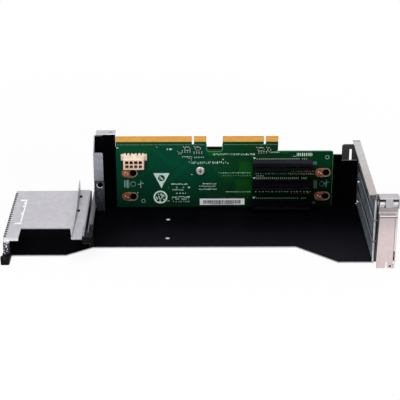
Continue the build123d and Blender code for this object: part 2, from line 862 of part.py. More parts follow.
def make_retainer_door():
    """Folded door: knuckles, web, ledge, hollow face with side flanges, and lips."""
    thick = latch_sheet
    face = -door_face_reach
    back = -door_back_reach
    bottom_left = door_left - door_flare
    outer = front_plate([
        (door_left, ledge_height),
        (door_right, ledge_height),
        (door_right, door_bottom),
        (bottom_left, door_bottom),
    ], face, back)
    inner = front_plate([
        (door_left + thick, ledge_height - thick),
        (door_right - thick, ledge_height - thick),
        (door_right - thick, door_bottom + thick),
        (bottom_left + thick, door_bottom + thick),
    ], face + thick, back + thick)
    body = outer - inner
    web_back = -hinge_reach + knuckle_radius
    behind = block(bottom_left, door_right, web_back, back + thick, ledge_height - 1.01 * thick,
                   ledge_height + thick)
    body -= behind
    body = fillet(edges_at(body, Axis.X, Y=face, Z=ledge_height), ledge_corner)
    body = fillet(edges_at(body, Axis.Z, X=door_right, Y=face), 2 * ledge_corner)
    body += block(door_left, door_right, web_back - thick, web_back, ledge_height - thick, hinge_height)
    body -= block(tongue_left - knuckle_gap, tongue_right + knuckle_gap, -tongue_reach, back + thick,
                  web_notch_bottom, hinge_height + knuckle_radius)
    for x0, x1 in ((door_left, tongue_left - knuckle_gap), (tongue_right + knuckle_gap, door_right)):
        body += rod_x(-hinge_reach, hinge_height, knuckle_radius, x0, x1)
    body -= rod_x(-hinge_reach, hinge_height, pin_radius + pin_running_gap, door_left - thick,
                  door_right + thick)
    return body + door_lips() - door_cuts()


def door_lips():
    """Two lips that continue the face below its bottom flange."""
    thick = latch_sheet
    face = -door_face_reach + lip_setback
    left = door_left - door_flare
    split = left + (door_right - left) * lip_split_share
    top = door_bottom + lip_overlap
    lips = block(left + lip_inset, split - lip_split / 2, face, face + thick, lip_bottom, top)
    lips += block(split + lip_split / 2, door_right - lip_inset, face, face + thick, lip_bottom, top)
    return fillet(lips.edges().filter_by(Axis.Y).group_by(Axis.Z)[0], 0.6)


def door_cuts():
    """Cutters for the lip's small hole and the slot that frees the side finger."""
    face = -door_face_reach
    hole_x = door_right - lip_inset - 3 * lip_hole_radius
    slot_x = door_right - finger_slot_inset
    deep = face + 2 * latch_sheet + lip_setback
    cuts = rod_y(hole_x, lip_bottom + 2 * lip_hole_radius, lip_hole_radius, face - latch_sheet, deep)
    cuts += block(slot_x - finger_slot_width, slot_x, face - latch_sheet, deep, finger_slot_bottom,
                  finger_slot_top)
    return cuts


def make_hinge_pin():
    """Pin with a low head outside each ear."""
    y, z = -hinge_reach, hinge_height
    pin = rod_x(y, z, pin_radius, latch_left, latch_right)
    pin += rod_x(y, z, pin_head_radius, latch_left - pin_head_thickness, latch_left)
    pin += rod_x(y, z, pin_head_radius, latch_right, latch_right + pin_head_thickness)
    return pin


# Riser board

def make_riser_board():
    """Bare board: stepped outline, key notches, keyholes, screw and pin holes."""
    t = board_thickness
    body = block(0, board_length, 0, t, board_bottom, shoulder_top)
    body = fillet(body.edges().filter_by(Axis.Y).sort_by(Axis.X)[-2:], board_corner)
    body += block(0, x8_start + x8_length, 0, t, shoulder_top - board_corner, notch_floor)
    for x0, x1 in ((0, x16_length), (x8_start, x8_start + x8_length)):
        body += block(x0, x1, 0, t, notch_floor, tongue_top)
    corners = edges_at(body, Axis.Y, X=x16_length, Z=notch_floor)
    corners += edges_at(body, Axis.Y, X=x8_start, Z=notch_floor)
    body = fillet(corners, min(notch_corner, (tongue_top - notch_floor) / 3))
    for key_x in (x16_segment + key_width / 2, x8_start + x8_segment + key_width / 2):
        body -= rod_y(key_x, tongue_top - key_depth + key_width / 2, key_width / 2, -t, 2 * t)
        body -= block(key_x - key_width / 2, key_x + key_width / 2, -t, 2 * t,
                      tongue_top - key_depth + key_width / 2, tongue_top + t)
    bevels = edges_at(body, Axis.X, Y=0, Z=tongue_top) + edges_at(body, Axis.X, Y=t, Z=tongue_top)
    body = chamfer(bevels, edge_bevel)
    for x, z in hook_spots():
        body -= keyhole_cutter(x, z, 0.0, -t, 2 * t)
    body -= rod_y(screw_along, board_bottom + screw_height, screw_hole_radius, -t, 2 * t)
    body -= rod_y(board_length - small_hole_inset, shoulder_top - small_hole_drop, small_hole_radius,
                  -t, 2 * t)
    reach = pin_size / 2 + pin_hole_clearance
    for x, z in pin_spots():
        body -= block(x - reach, x + reach, -t, 2 * t, z - reach, z + reach)
    return body


def keyhole_cutter(x, z, grow, y0, y1):
    """Keyhole with its round entry right of the hook and a narrow slot over the hook."""
    entry = x + keyhole_travel
    slot = stadium(x, entry, z, keyhole_slot_radius + grow, y0, y1)
    return slot + rod_y(entry, z, keyhole_radius + grow, y0, y1)


def make_keyhole_pads():
    """Bare copper round each keyhole, on the board's front face."""
    pads = []
    for x, z in hook_spots():
        radius = keyhole_radius + keyhole_pad_margin
        pad = stadium(x, x + keyhole_travel, z, radius, -keyhole_pad_thickness, 0)
        pads.append(pad - keyhole_cutter(x, z, keyhole_pad_edge, -1, 1))
    return group(pads)


def contact_places(start, segment):
    """Middle of each contact on one segment, as many as fit on it at the standard pitch."""
    count = int(segment / contact_pitch)
    first = start + (segment - (count - 1) * contact_pitch) / 2
    return [first + contact_pitch * i for i in range(count)]


def make_edge_contacts(start, long_segment):
    """Gold contacts on both faces of one tongue, either side of the key."""
    top = tongue_top - contact_drop
    bottom = top - contact_height
    half = contact_width / 2
    pads = []
    after_key = start + long_segment + key_width
    for x in contact_places(start, long_segment) + contact_places(after_key, short_segment):
        pads.append(block(x - half, x + half, -contact_thickness, 0, bottom, top))
        back = board_thickness + contact_thickness
        pads.append(block(x - half, x + half, board_thickness, back, bottom, top))
    return group(pads)


# Card slots

def slot_segments():
    """Left and right ends of the two groove segments, either side of the key."""
    after_key = slot_key_left + key_width
    gap = slot_key_clearance
    return ((slot_left - gap, slot_key_left + gap), (after_key - gap, slot_right + gap))


def make_card_slot(height):
    """Moulded slot: stepped sides, card groove with its key, spring cavities and feet."""
    left = slot_left - slot_end_wall
    right = slot_right + slot_end_wall
    half = slot_width / 2
    spring_outer = spring_centre() + spring_thickness / 2 + spring_recess
    body = block(left, right, -slot_height, -slot_standoff, height - half, height + half)
    for side in (-1, 1):
        edge = height + side * half
        low, high = sorted((edge, edge - side * slot_shoulder))
        body -= block(left, right, -slot_height, -slot_shoulder_height, low, high)
    for x0, x1 in slot_segments():
        groove = block(x0, x1, -slot_height, -slot_floor, height - slot_card_gap / 2,
                       height + slot_card_gap / 2)
        body -= groove
        end = slot_end_margin
        body -= block(x0 + end, x1 - end, -slot_height + spring_drop, -slot_floor,
                      height - spring_outer, height + spring_outer)
        for middle in (height - spring_centre(), height + spring_centre()):
            reach = spring_thickness / 2 + spring_recess
            body -= block(x0 + end, x1 - end, -slot_floor - spring_recess, 0, middle - reach, middle + reach)
    mouth = [e for z in (-1, 1) for e in edges_at(body, Axis.X, Y=-slot_height,
                                                  Z=height + z * slot_card_gap / 2)]
    body = chamfer(mouth, slot_mouth)
    body = chamfer(edges_at(body, Axis.Z, X=left, Y=-slot_height)
                   + edges_at(body, Axis.Z, X=right, Y=-slot_height), slot_shoulder)
    for x in (left, right - slot_end_wall):
        body += block(x, x + slot_end_wall, -slot_standoff, 0, height - half, height + half)
    return body


def spring_centre():
    """Distance of a contact spring's middle from the card's middle plane."""
    return slot_card_gap / 2 + spring_thickness / 2 + spring_recess / 2


def make_slot_contacts(height):
    """Contact springs, joined to one strip on each side of both groove segments."""
    top = -slot_height + spring_drop + spring_recess
    thin = spring_thickness / 2
    inset = slot_end_margin + spring_recess
    strips = []
    for x0, x1 in slot_segments():
        for middle in (height - spring_centre(), height + spring_centre()):
            strips.append(block(x0 + inset, x1 - inset, top, 0, middle - thin, middle + thin))
    return group(strips)


# Power header

def pin_spots():
    """Places of the header's pins as (x, z)."""
    first = header_centre - header_pitch * (header_columns - 1) / 2
    columns = [first + header_pitch * i for i in range(header_columns)]
    return [(x, z) for z in header_rows for x in columns]


def make_power_header():
    """Moulded header: eight cavities, board flange, ribs and the latch ramp on top."""
    front = -header_depth
    left = header_centre - header_width / 2
    right = header_centre + header_width / 2
    middle = board_bottom + header_height
    bottom = middle - header_thickness / 2
    top = middle + header_thickness / 2
    body = block(left, right, front, 0, bottom, top)
    body = fillet(body.edges().filter_by(Axis.Y), 0.5)
    ear_top = top + header_rib_height
    body += block(left - header_ear_width, right + header_ear_width, -header_ear_depth, 0,
                  ear_top - header_ear_height, ear_top)
    for x, z in pin_spots():
        if z > middle:
            body += block(x - header_rib_width / 2, x + header_rib_width / 2, front + header_floor, 0,
                          top - header_rib_height, top + header_rib_height)
    latch_half = header_latch_width / 2
    latch = side_plate([
        (-header_floor - header_latch_depth, top - header_rib_height),
        (-header_floor, top - header_rib_height),
        (-header_floor, top + header_latch_height),
        (-header_floor - header_latch_depth, top),
    ], header_centre - latch_half, header_centre + latch_half)
    body += latch
    for index, (x, z) in enumerate(pin_spots()):
        half = header_cavity / 2
        cavity = block(x - half, x + half, front - 1, -header_floor, z - half, z + half)
        if index % 2:
            cavity = chamfer(edges_at(cavity, Axis.Y, Z=z + half), header_cavity_corner)
        body -= cavity
        reach = pin_size / 2 + hole_clearance
        body -= block(x - reach, x + reach, -header_floor - 1, 1, z - reach, z + reach)
    return body


def make_power_pins():
    """Square pins from inside the cavities to their tails behind the board."""
    half = pin_size / 2
    front = -header_depth + pin_recess
    back = board_thickness + pin_tail
    pins = []
    for x, z in pin_spots():
        pin = block(x - half, x + half, front, back, z - half, z + half)
        pins.append(chamfer(pin.edges().group_by(Axis.Y)[0], half * 0.45))
    return group(pins)


# Fastening and small parts

def make_hook_studs():
    """Four studs welded to the back wall, each with a neck and a round head."""
    studs = []
    for x, z in hook_spots():
        stud = rod_y(x, z, hook_body_radius, board_thickness, wall_face)
        stud += rod_y(x, z, hook_neck_radius, -hook_head_gap, board_thickness)
        stud += rod_y(x, z, hook_head_radius, -hook_head_gap - hook_head_thickness, -hook_head_gap)
        studs.append(stud)
    return group(studs)


def make_board_standoff():
    """Threaded standoff between the back wall and the board."""
    x, z = screw_along, board_bottom + screw_height
    body = rod_y(x, z, standoff_radius, board_thickness, wall_face)
    bore_end = screw_length + hook_head_thickness
    return body - rod_y(x, z, screw_shank_radius + hole_clearance, board_thickness - 1, bore_end)


def make_board_screw():
    """Pan head screw with a cross recess."""
    x, z = screw_along, board_bottom + screw_height
    head = rod_y(x, z, screw_head_radius, -screw_head_height, 0)
    head = chamfer(head.edges().filter_by(GeomType.CIRCLE).sort_by(Axis.Y)[0], screw_head_height / 3)
    body = head + rod_y(x, z, screw_shank_radius, 0, screw_length)
    long, wide = screw_recess_length / 2, screw_recess_width / 2
    bottom = -screw_head_height + screw_recess_depth
    body -= block(x - long, x + long, -screw_head_height - 1, bottom, z - wide, z + wide)
    body -= block(x - wide, x + wide, -screw_head_height - 1, bottom, z - long, z + long)
    return body


def rivet(axis, head, tail, first, second):
    """Rivet along an axis, from the seat of its head to its tail.

    The other two coordinates follow in the order x, y, z. The head stands on
    the far side of its seat from the tail.
    """
    make = {"x": rod_x, "y": rod_y, "z": rod_z}[axis]
    top = head + rivet_head_height if head > tail else head - rivet_head_height
    shank = make(first, second, rivet_radius, min(head, tail), max(head, tail))
    cap = make(first, second, rivet_head_radius, min(head, top), max(head, top))
    return shank + cap


def make_floor_rivets():
    """Rivets through the floor, flush below, with their heads on the flanges."""
    return group(rivet("z", top, hole_clearance, x, y) for x, y, top in floor_rivet_spots())


def make_wall_rivets():
    """Rivets through the end bracket's back flange and the back wall."""
    seat = wall_front - sheet
    return group(rivet("y", seat, wall_back, x, z) for x, z in wall_rivet_spots())


def make_panel_rivets():
    """Rivets through the panel's back flange, flush under the film."""
    seat = wall_back + sheet
    return group(rivet("y", seat, wall_face, x, z) for x, z in panel_rivet_spots())


def make_tab_rivets():
    """Rivets through the upturned tabs and the panel."""
    seat = panel_outer + sheet
    return group(rivet("x", seat, panel_inner, y, z) for y, z in tab_rivet_spots())


def make_latch_rivets():
    """Rivets through the latch bracket's base plate."""
    seat = -panel_reach - latch_sheet
    return group(rivet("y", seat, -panel_reach + sheet, x, z) for x, z in latch_rivet_spots())


def make_board_label():
    """Thin label on the board's front face."""
    bottom = board_bottom + label_bottom
    return block(label_left, label_left + label_width, -label_thickness, 0, bottom,
                 bottom + label_height)


def chip_row(spots, upright):
    """Rows of small chips on the board's front face."""
    wide, high = (chip_width, chip_length) if upright else (chip_length, chip_width)
    chips = []
    for x, z in spots:
        for i in range(chip_row_count):
            cx = x + chip_row_pitch * i
            cz = board_bottom + z - floor_top
            chips.append(block(cx - wide / 2, cx + wide / 2, -chip_thickness, 0, cz - high / 2,
                               cz + high / 2))
    return group(chips)


def make_parts():
    """Every node by name."""
    parts = {
        "cage_shell": make_cage_shell(),
        "insulator_film": make_insulator_film(),
        "end_bracket": make_end_bracket(),
        "flange_film": make_flange_film(),
        "slot_panel": make_slot_panel(),
        "side_tray": make_side_tray(),
        "tray_rib": make_tray_rib(),
        "tray_foot": make_tray_foot(),
        "corner_clip": make_corner_clip(),
        "latch_bracket": make_latch_bracket(),
        "retainer_door": make_retainer_door(),
        "hinge_pin": make_hinge_pin(),
        "riser_board": make_riser_board(),
        "keyhole_pads": make_keyhole_pads(),
        "edge_contacts_x16": make_edge_contacts(0.0, x16_segment),
        "edge_contacts_x8": make_edge_contacts(x8_start, x8_segment),
        "power_header": make_power_header(),
        "power_pins": make_power_pins(),
        "hook_studs": make_hook_studs(),
        "board_standoff": make_board_standoff(),
        "board_screw": make_board_screw(),
        "board_label": make_board_label(),
        "chip_capacitors": chip_row(capacitor_spots, True),
        "chip_resistors": chip_row(resistor_spots, False),
        "floor_rivets": make_floor_rivets(),
        "wall_rivets": make_wall_rivets(),
        "panel_rivets": make_panel_rivets(),
        "tab_rivets": make_tab_rivets(),
        "latch_rivets": make_latch_rivets(),
    }
    for number, (slot, cover) in enumerate(zip(slot_heights, cover_heights), start=1):
        parts[f"card_slot_{number}"] = make_card_slot(slot)
        parts[f"slot_contacts_{number}"] = make_slot_contacts(slot)
        parts[f"slot_cover_{number}"] = make_slot_cover(cover)
    return parts


os.makedirs("parts", exist_ok=True)
for name, shape in make_parts().items():
    export_step(shape, f"parts/{name}.step")
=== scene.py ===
"""Looks for a three-slot riser cage: finishes, printed marks, small parts, studio and camera."""

import logging
import math
import random
from dataclasses import dataclass, field
from enum import Enum
from typing import Callable, Iterable, Optional, Sequence

import bmesh
import bpy
from mathutils import Matrix, Vector

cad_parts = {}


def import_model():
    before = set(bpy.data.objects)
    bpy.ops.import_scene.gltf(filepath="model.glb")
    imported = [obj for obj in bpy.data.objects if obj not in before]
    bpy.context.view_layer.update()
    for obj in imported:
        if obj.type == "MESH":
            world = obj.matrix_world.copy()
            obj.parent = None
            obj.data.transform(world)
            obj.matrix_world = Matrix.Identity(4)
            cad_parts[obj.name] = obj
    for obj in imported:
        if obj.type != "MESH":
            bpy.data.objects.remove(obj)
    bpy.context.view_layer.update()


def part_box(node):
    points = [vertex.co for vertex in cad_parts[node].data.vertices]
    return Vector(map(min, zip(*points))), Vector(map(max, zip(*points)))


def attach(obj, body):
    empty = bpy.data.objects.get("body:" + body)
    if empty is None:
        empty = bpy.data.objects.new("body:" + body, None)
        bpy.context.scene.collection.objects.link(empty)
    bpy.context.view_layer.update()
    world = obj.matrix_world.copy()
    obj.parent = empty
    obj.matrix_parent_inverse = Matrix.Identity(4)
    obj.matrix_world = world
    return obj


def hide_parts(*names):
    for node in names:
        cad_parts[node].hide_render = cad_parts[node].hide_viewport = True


# A Spot is a point and a radius, a Pair is two ends or two sizes, and an Area is two ends across
# and two ends up or along, or a middle and its width and height.
Colour = tuple[float, float, float]
Point = tuple[float, float]
Place = tuple[float, float, float]
Spot = tuple[float, float, float]
Pair = tuple[float, float]
Area = tuple[float, float, float, float]
Socket = bpy.types.NodeSocket

MM = 0.001
CAGE_BODY = "cage"
# The Mix node has sockets of one name for numbers, vectors and colours. These are for colours.
MIX_FIRST, MIX_SECOND, MIX_RESULT = 6, 7, 2
SHARPEST_MITRE = 0.3
log = logging.getLogger("riser_cage")


class Face(Enum):
    """Which way a flat shape looks, and so what its two numbers and its depth mean."""

    FRONT = "x across, z up, depth along y"
    PLAN = "x across, y along, depth along z"
    SIDE = "y across, z up, depth along x"

    def point(self, across: float, up: float, depth: float) -> Vector:
        """Place of a flat point in the frame.

        Args:
            across: First number in millimetres.
            up: Second number in millimetres.
            depth: Number along the face's own direction, in millimetres.

        Returns:
            The point in metres.
        """
        if self is Face.FRONT:
            return Vector((across, depth, up)) * MM
        if self is Face.PLAN:
            return Vector((across, up, depth)) * MM
        return Vector((depth, across, up)) * MM


class Rolling(Enum):
    """Direction in which a sheet was rolled, as noise scales that stretch its grain."""

    ALONG_X = (0.04, 1.0, 1.0)
    ALONG_Y = (1.0, 0.04, 1.0)
    ALONG_Z = (1.0, 1.0, 0.04)


# Finishes


class Graph:
    """Node tree of one finish, with short calls for the nodes that finishes share."""

    def __init__(self, name: str) -> None:
        """Starts a material with only its shader and object coordinates.

        Args:
            name: Name of the material.
        """
        self.material = bpy.data.materials.new(name)
        self.material.use_nodes = True
        self.tree = self.material.node_tree
        self.shader = self.tree.nodes["Principled BSDF"]
        self.place = self.node("ShaderNodeTexCoord").outputs["Object"]

    def node(self, kind: str, **settings: object) -> bpy.types.Node:
        """Adds a node.

        Args:
            kind: Blender's name of the node type.
            **settings: Properties to set on the node.

        Returns:
            The new node.
        """
        made = self.tree.nodes.new(kind)
        for key, value in settings.items():
            setattr(made, key, value)
        return made

    def join(self, source: Socket, target: Socket) -> None:
        """Links one socket to another."""
        self.tree.links.new(source, target)

    def steady(self, **values: object) -> None:
        """Sets numbers and colours that are the same all over, on the shader's own sockets."""
        for key, value in values.items():
            self.shader.inputs[key.replace("_", " ").title().replace("Ior", "IOR")].default_value = value

    def stretched(self, stretch: Sequence[float]) -> Socket:
        """Object coordinates drawn out or squeezed.

        Args:
            stretch: What each direction is multiplied by.

        Returns:
            The new coordinates.
        """
        mapping = self.node("ShaderNodeMapping")
        mapping.inputs["Scale"].default_value = tuple(stretch)
        self.join(self.place, mapping.inputs["Vector"])
        return mapping.outputs["Vector"]

    def noise(self, scale: float, detail: float = 3.0, stretch: Optional[Sequence[float]] = None) -> Socket:
        """Noise in object space.

        Args:
            scale: Features per metre.
            detail: Layers of finer noise.
            stretch: Numbers that draw the noise out along some directions.

        Returns:
            The noise as a number around 0.5.
        """
        made = self.node("ShaderNodeTexNoise")
        made.inputs["Scale"].default_value = scale
        made.inputs["Detail"].default_value = detail
        self.join(self.stretched(stretch) if stretch else self.place, made.inputs["Vector"])
        return made.outputs["Fac"]

    def cells(self, scale: float) -> Socket:
        """A random grey for each crystal or speck, in object space.

        Args:
            scale: Crystals per metre.

        Returns:
            The grey as a number from 0 to 1.
        """
        made = self.node("ShaderNodeTexVoronoi")
        made.inputs["Scale"].default_value = scale
        self.join(self.place, made.inputs["Vector"])
        grey = self.node("ShaderNodeRGBToBW")
        self.join(made.outputs["Color"], grey.inputs["Color"])
        return grey.outputs["Val"]

    def spread(self, source: Socket, low: float, high: float,
               start: float = 0.3, end: float = 0.7) -> Socket:
        """Turns source from start..end into low..high, and holds it there.

        Args:
            source: A number.
            low: Result at start and below it.
            high: Result at end and above it.
            start: Where the change begins.
            end: Where it is complete.

        Returns:
            The new number.
        """
        made = self.node("ShaderNodeMapRange")
        for key, value in (("From Min", start), ("From Max", end), ("To Min", low), ("To Max", high)):
            made.inputs[key].default_value = value
        self.join(source, made.inputs["Value"])
        return made.outputs["Result"]

    def ramp(self, axis: str, start: float, end: float) -> Socket:
        """Goes from 0 at start to 1 at end along one axis of the frame, in millimetres."""
        return self.spread(self.along(axis), 0.0, 1.0, start * MM, end * MM)

    def around(self, source: Socket, middle: float, swing: Pair) -> Socket:
        """Number that source moves to both sides of a middle.

        Args:
            source: A noise.
            middle: The number without it.
            swing: How far it goes below the middle, and above it.

        Returns:
            The new number.
        """
        return self.spread(source, middle - swing[0], middle + swing[1])

    def maths(self, operation: str, first: Socket, second: Socket | float) -> Socket:
        """One sum on numbers.

        Args:
            operation: Blender's name of the sum.
            first: First number.
            second: Second number.

        Returns:
            The result.
        """
        made = self.node("ShaderNodeMath", operation=operation)
        self.join(first, made.inputs[0])
        if isinstance(second, (int, float)):
            made.inputs[1].default_value = second
        else:
            self.join(second, made.inputs[1])
        return made.outputs["Value"]

    def mixed(self, share: Socket, first: Socket | Colour, second: Socket | Colour) -> Socket:
        """Colour between two colours.

        Args:
            share: How much of the second colour there is.
            first: First colour.
            second: Second colour.

        Returns:
            The mixed colour.
        """
        made = self.node("ShaderNodeMix", data_type="RGBA")
        self.join(share, made.inputs["Factor"])
        for socket, value in ((made.inputs[MIX_FIRST], first), (made.inputs[MIX_SECOND], second)):
            if isinstance(value, tuple):
                socket.default_value = (*value, 1.0)
            else:
                self.join(value, socket)
        return made.outputs[MIX_RESULT]

    def height(self, source: Socket, depth: float, strength: float = 1.0) -> None:
        """Bumps the surface, on top of earlier bumps.

        Args:
            source: The height, from 0 to 1.
            depth: Height of a full bump in millimetres.
            strength: How much of the bump shows.
        """
        bump = self.node("ShaderNodeBump")
        bump.inputs["Strength"].default_value = strength
        bump.inputs["Distance"].default_value = depth * MM
        self.join(source, bump.inputs["Height"])
        socket = self.shader.inputs["Normal"]
        if socket.is_linked:
            self.join(socket.links[0].from_socket, bump.inputs["Normal"])
        self.join(bump.outputs["Normal"], socket)

    def colour(self, hue: Socket) -> None:
        """Gives the surface its colour."""
        self.join(hue, self.shader.inputs["Base Color"])

    def roughness(self, rough: Socket) -> None:
        """Gives the surface its roughness."""
        self.join(rough, self.shader.inputs["Roughness"])

    def along(self, axis: str) -> Socket:
        """One object coordinate.

        Args:
            axis: X, Y or Z.

        Returns:
            The coordinate in metres.
        """
        split = self.node("ShaderNodeSeparateXYZ")
        self.join(self.place, split.inputs["Vector"])
        return split.outputs[axis]

    def tinted(self, base: Socket, tints: Sequence["Tint"]) -> Socket:
        """Multiplies a colour by each tint in turn, where the tint's ranges say so.

        Args:
            base: The colour.
            tints: The tints.

        Returns:
            The tinted colour.
        """
        for tint in tints:
            share = None
            for axis, start, end in tint.ranges:
                part = self.ramp(axis, start, end)
                share = part if share is None else self.maths("MULTIPLY", share, part)
            made = self.node("ShaderNodeMix", data_type="RGBA", blend_type="MULTIPLY")
            self.join(share, made.inputs["Factor"])
            self.join(base, made.inputs[MIX_FIRST])
            made.inputs[MIX_SECOND].default_value = (*tint.colour, 1.0)
            base = made.outputs[MIX_RESULT]
        return base


@dataclass(frozen=True)
class Tint:
    """A change of colour over part of a piece, such as painted shade in a fold.

    Each range is an axis, where the tint starts and where it is full, in millimetres. A piece is
    tinted where all of its ranges meet.
    """

    colour: Colour
    ranges: tuple[tuple[str, float, float], ...]


@dataclass(frozen=True)
class Finish:
    """A finish with its name and main colour. Each kind below adds its own texture."""

    name: str
    colour: Colour

    def material(self) -> bpy.types.Material:
        """Makes the material, or finds it where it was made before.

        Returns:
            The material.
        """
        full_name = f"{self.name}_finish"
        known = bpy.data.materials.get(full_name)
        if known:
            return known
        graph = Graph(full_name)
        self.lay(graph)
        return graph.material

    def lay(self, graph: Graph) -> None:
        """Fills the node tree. Each kind of finish has its own."""
        raise NotImplementedError

    def shade(self, amount: float) -> Colour:
        """The main colour times a number, held at white."""
        return tuple(min(1.0, part * amount) for part in self.colour)


@dataclass(frozen=True)
class SheetFinish(Finish):
    """Zinc-coated sheet with crystals, rolling grain, handling marks and a little dulling."""

    metallic: float = 0.9
    roughness: float = 0.42
    rolling: Rolling = Rolling.ALONG_X
    crystal: float = 260.0
    crystal_share: float = 0.08
    tints: tuple[Tint, ...] = ()
    cloud_scale: float = 42.0
    grain_scale: float = 2600.0
    wave_scale: float = 120.0
    gloss_swing: Pair = (0.07, 0.05)
    most_dull: float = 0.1

    def lay(self, graph: Graph) -> None:
        """Crystals and clouds vary the colour, grain and clouds the gloss.

        Args:
            graph: The material's nodes.
        """
        graph.steady(metallic=self.metallic, ior=1.6)
        clouds = graph.noise(self.cloud_scale, 4.0)
        spangle = graph.cells(self.crystal)
        grain = graph.noise(self.grain_scale, 2.0, self.rolling.value)
        share = graph.maths("ADD", graph.spread(clouds, 0.0, 0.55), graph.spread(spangle, 0.0, 0.45))
        low, high = self.shade(1 - self.crystal_share), self.shade(1 + self.crystal_share)
        graph.colour(graph.tinted(graph.mixed(share, low, high), self.tints))
        gloss = graph.around(grain, self.roughness, self.gloss_swing)
        dull = graph.spread(clouds, 0.0, self.most_dull, 0.45, 0.75)
        graph.roughness(graph.maths("ADD", gloss, dull))
        graph.height(grain, 0.004, 0.35)
        graph.height(graph.noise(self.wave_scale, 2.0), 0.02, 0.25)


@dataclass(frozen=True)
class FilmFinish(Finish):
    """Black insulating film: matt grain, faint waves where it lies on the sheet, some dust."""

    roughness: float = 0.42
    specular: float = 0.02
    # Painted sheen: a lighter colour toward the film's front and its right side.
    painted_sheen: Colour = (0.0105, 0.0095, 0.0125)
    dust: Colour = (0.09, 0.09, 0.1)
    painted_sheen_toward: Pair = (-30.0, -95.0)
    painted_sheen_inside: Pair = (-20.0, 25.0)
    gloss_swing: Pair = (0.06, 0.08)

    def lay(self, graph: Graph) -> None:
        """Fine grain for the gloss, broad waves for the shape, sparse specks of dust, a painted sheen at
        the front.

        Args:
            graph: The material's nodes.
        """
        graph.steady(metallic=0.0, ior=1.25, specular_ior_level=self.specular)
        specks = graph.spread(graph.noise(1500.0, 1.0), 0.0, 0.5, 0.74, 0.8)
        clouds = graph.spread(graph.noise(25.0, 3.0), 0.0, 1.0)
        body = graph.mixed(clouds, self.shade(0.7), self.shade(1.3))
        toward = graph.ramp("Y", *self.painted_sheen_toward)
        inside = graph.ramp("X", *self.painted_sheen_inside)
        # Painted sheen, mixed in toward the front and the right.
        body = graph.mixed(graph.maths("MULTIPLY", toward, inside), body, self.painted_sheen)
        graph.colour(graph.mixed(specks, body, self.dust))
        graph.roughness(graph.around(graph.noise(300.0, 3.0), self.roughness, self.gloss_swing))
        graph.height(graph.noise(3200.0, 2.0), 0.003, 0.4)
        graph.height(graph.noise(30.0, 1.0), 0.25, 0.25)


@dataclass(frozen=True)
class MaskFinish(Finish):
    """Solder mask on laminate: a glass weave just showing, clouds of copper under it, soft gloss."""

    yellow: float = 0.35
    roughness: float = 0.34
    specular: float = 0.02
    tints: tuple[Tint, ...] = ()
    laminate_from: float = 68.7
    laminate: Colour = (0.5, 0.24, 0.05)
    weave_scale: float = 420.0
    weave_shade: float = 0.82
    gloss_swing: Pair = (0.05, 0.07)

    def lay(self, graph: Graph) -> None:
        """Clouds and weave vary the green, which is yellower where copper lies below.

        Args:
            graph: The material's nodes.
        """
        graph.steady(metallic=0.0, specular_ior_level=self.specular)
        clouds = graph.spread(graph.noise(34.0, 3.0), 0.0, 1.0)
        red, green, blue = self.colour
        over_copper = (red + 0.004, green * 1.12, blue * (1 - self.yellow))
        hue = graph.mixed(clouds, self.colour, over_copper)
        weaves = [graph.node("ShaderNodeTexWave", bands_direction=axis) for axis in ("X", "Z")]
        for weave in weaves:
            weave.inputs["Scale"].default_value = self.weave_scale
            weave.inputs["Distortion"].default_value = 0.6
            graph.join(graph.place, weave.inputs["Vector"])
        cloth = graph.maths("MULTIPLY", *[weave.outputs["Fac"] for weave in weaves])
        hue = graph.mixed(graph.spread(cloth, 0.0, 0.4, 0.0, 1.0), hue, self.shade(self.weave_shade))
        hue = graph.tinted(hue, self.tints)
        bare = graph.ramp("Z", self.laminate_from, self.laminate_from + 0.1)
        graph.colour(graph.mixed(bare, hue, self.laminate))
        graph.roughness(graph.around(graph.noise(500.0, 2.0), self.roughness, self.gloss_swing))
        graph.height(cloth, 0.006, 0.3)


@dataclass(frozen=True)
class MouldingFinish(Finish):
    """Moulded plastic with a fine spark-eroded texture and faint flow lines."""

    roughness: float = 0.5
    specular: float = 0.4
    grain: float = 2400.0
    tints: tuple[Tint, ...] = ()
    flow_scale: float = 90.0
    gloss_swing: Pair = (0.06, 0.08)

    def lay(self, graph: Graph) -> None:
        """Texture for the bump and gloss, flow lines for a slight change of colour.

        Args:
            graph: The material's nodes.
        """
        graph.steady(metallic=0.0, specular_ior_level=self.specular)
        flow = graph.spread(graph.noise(self.flow_scale, 3.0, (1.0, 1.0, 0.4)), 0.0, 1.0)
        hue = graph.mixed(flow, self.shade(0.88), self.shade(1.1))
        graph.colour(graph.tinted(hue, self.tints))
        texture = graph.noise(self.grain, 2.0)
        graph.roughness(graph.around(texture, self.roughness, self.gloss_swing))
        graph.height(texture, 0.008, 0.35)


@dataclass(frozen=True)
class PlatingFinish(Finish):
    """Plated or bare metal of small parts, with tarnish in clouds and fine polishing lines."""

    tarnish: Colour = (0.2, 0.1, 0.05)
    tarnish_share: float = 0.2
    roughness: float = 0.28
    metallic: float = 1.0
    tints: tuple[Tint, ...] = ()
    cloud_scale: float = 210.0
    line_scale: float = 3000.0
    gloss_swing: Pair = (0.05, 0.07)
    most_dull: float = 0.12

    def lay(self, graph: Graph) -> None:
        """Clouds of tarnish over the plating, which is duller where it is tarnished.

        Args:
            graph: The material's nodes.
        """
        graph.steady(metallic=self.metallic)
        clouds = graph.spread(graph.noise(self.cloud_scale, 4.0), 0.0, 1.0, 0.35, 0.75)
        share = graph.maths("MULTIPLY", clouds, self.tarnish_share)
        graph.colour(graph.tinted(graph.mixed(share, self.colour, self.tarnish), self.tints))
        lines = graph.noise(self.line_scale, 2.0, (0.15, 1.0, 1.0))
        gloss = graph.around(lines, self.roughness, self.gloss_swing)
        dull = graph.maths("MULTIPLY", clouds, self.most_dull)
        graph.roughness(graph.maths("ADD", gloss, dull))
        graph.height(lines, 0.002, 0.3)


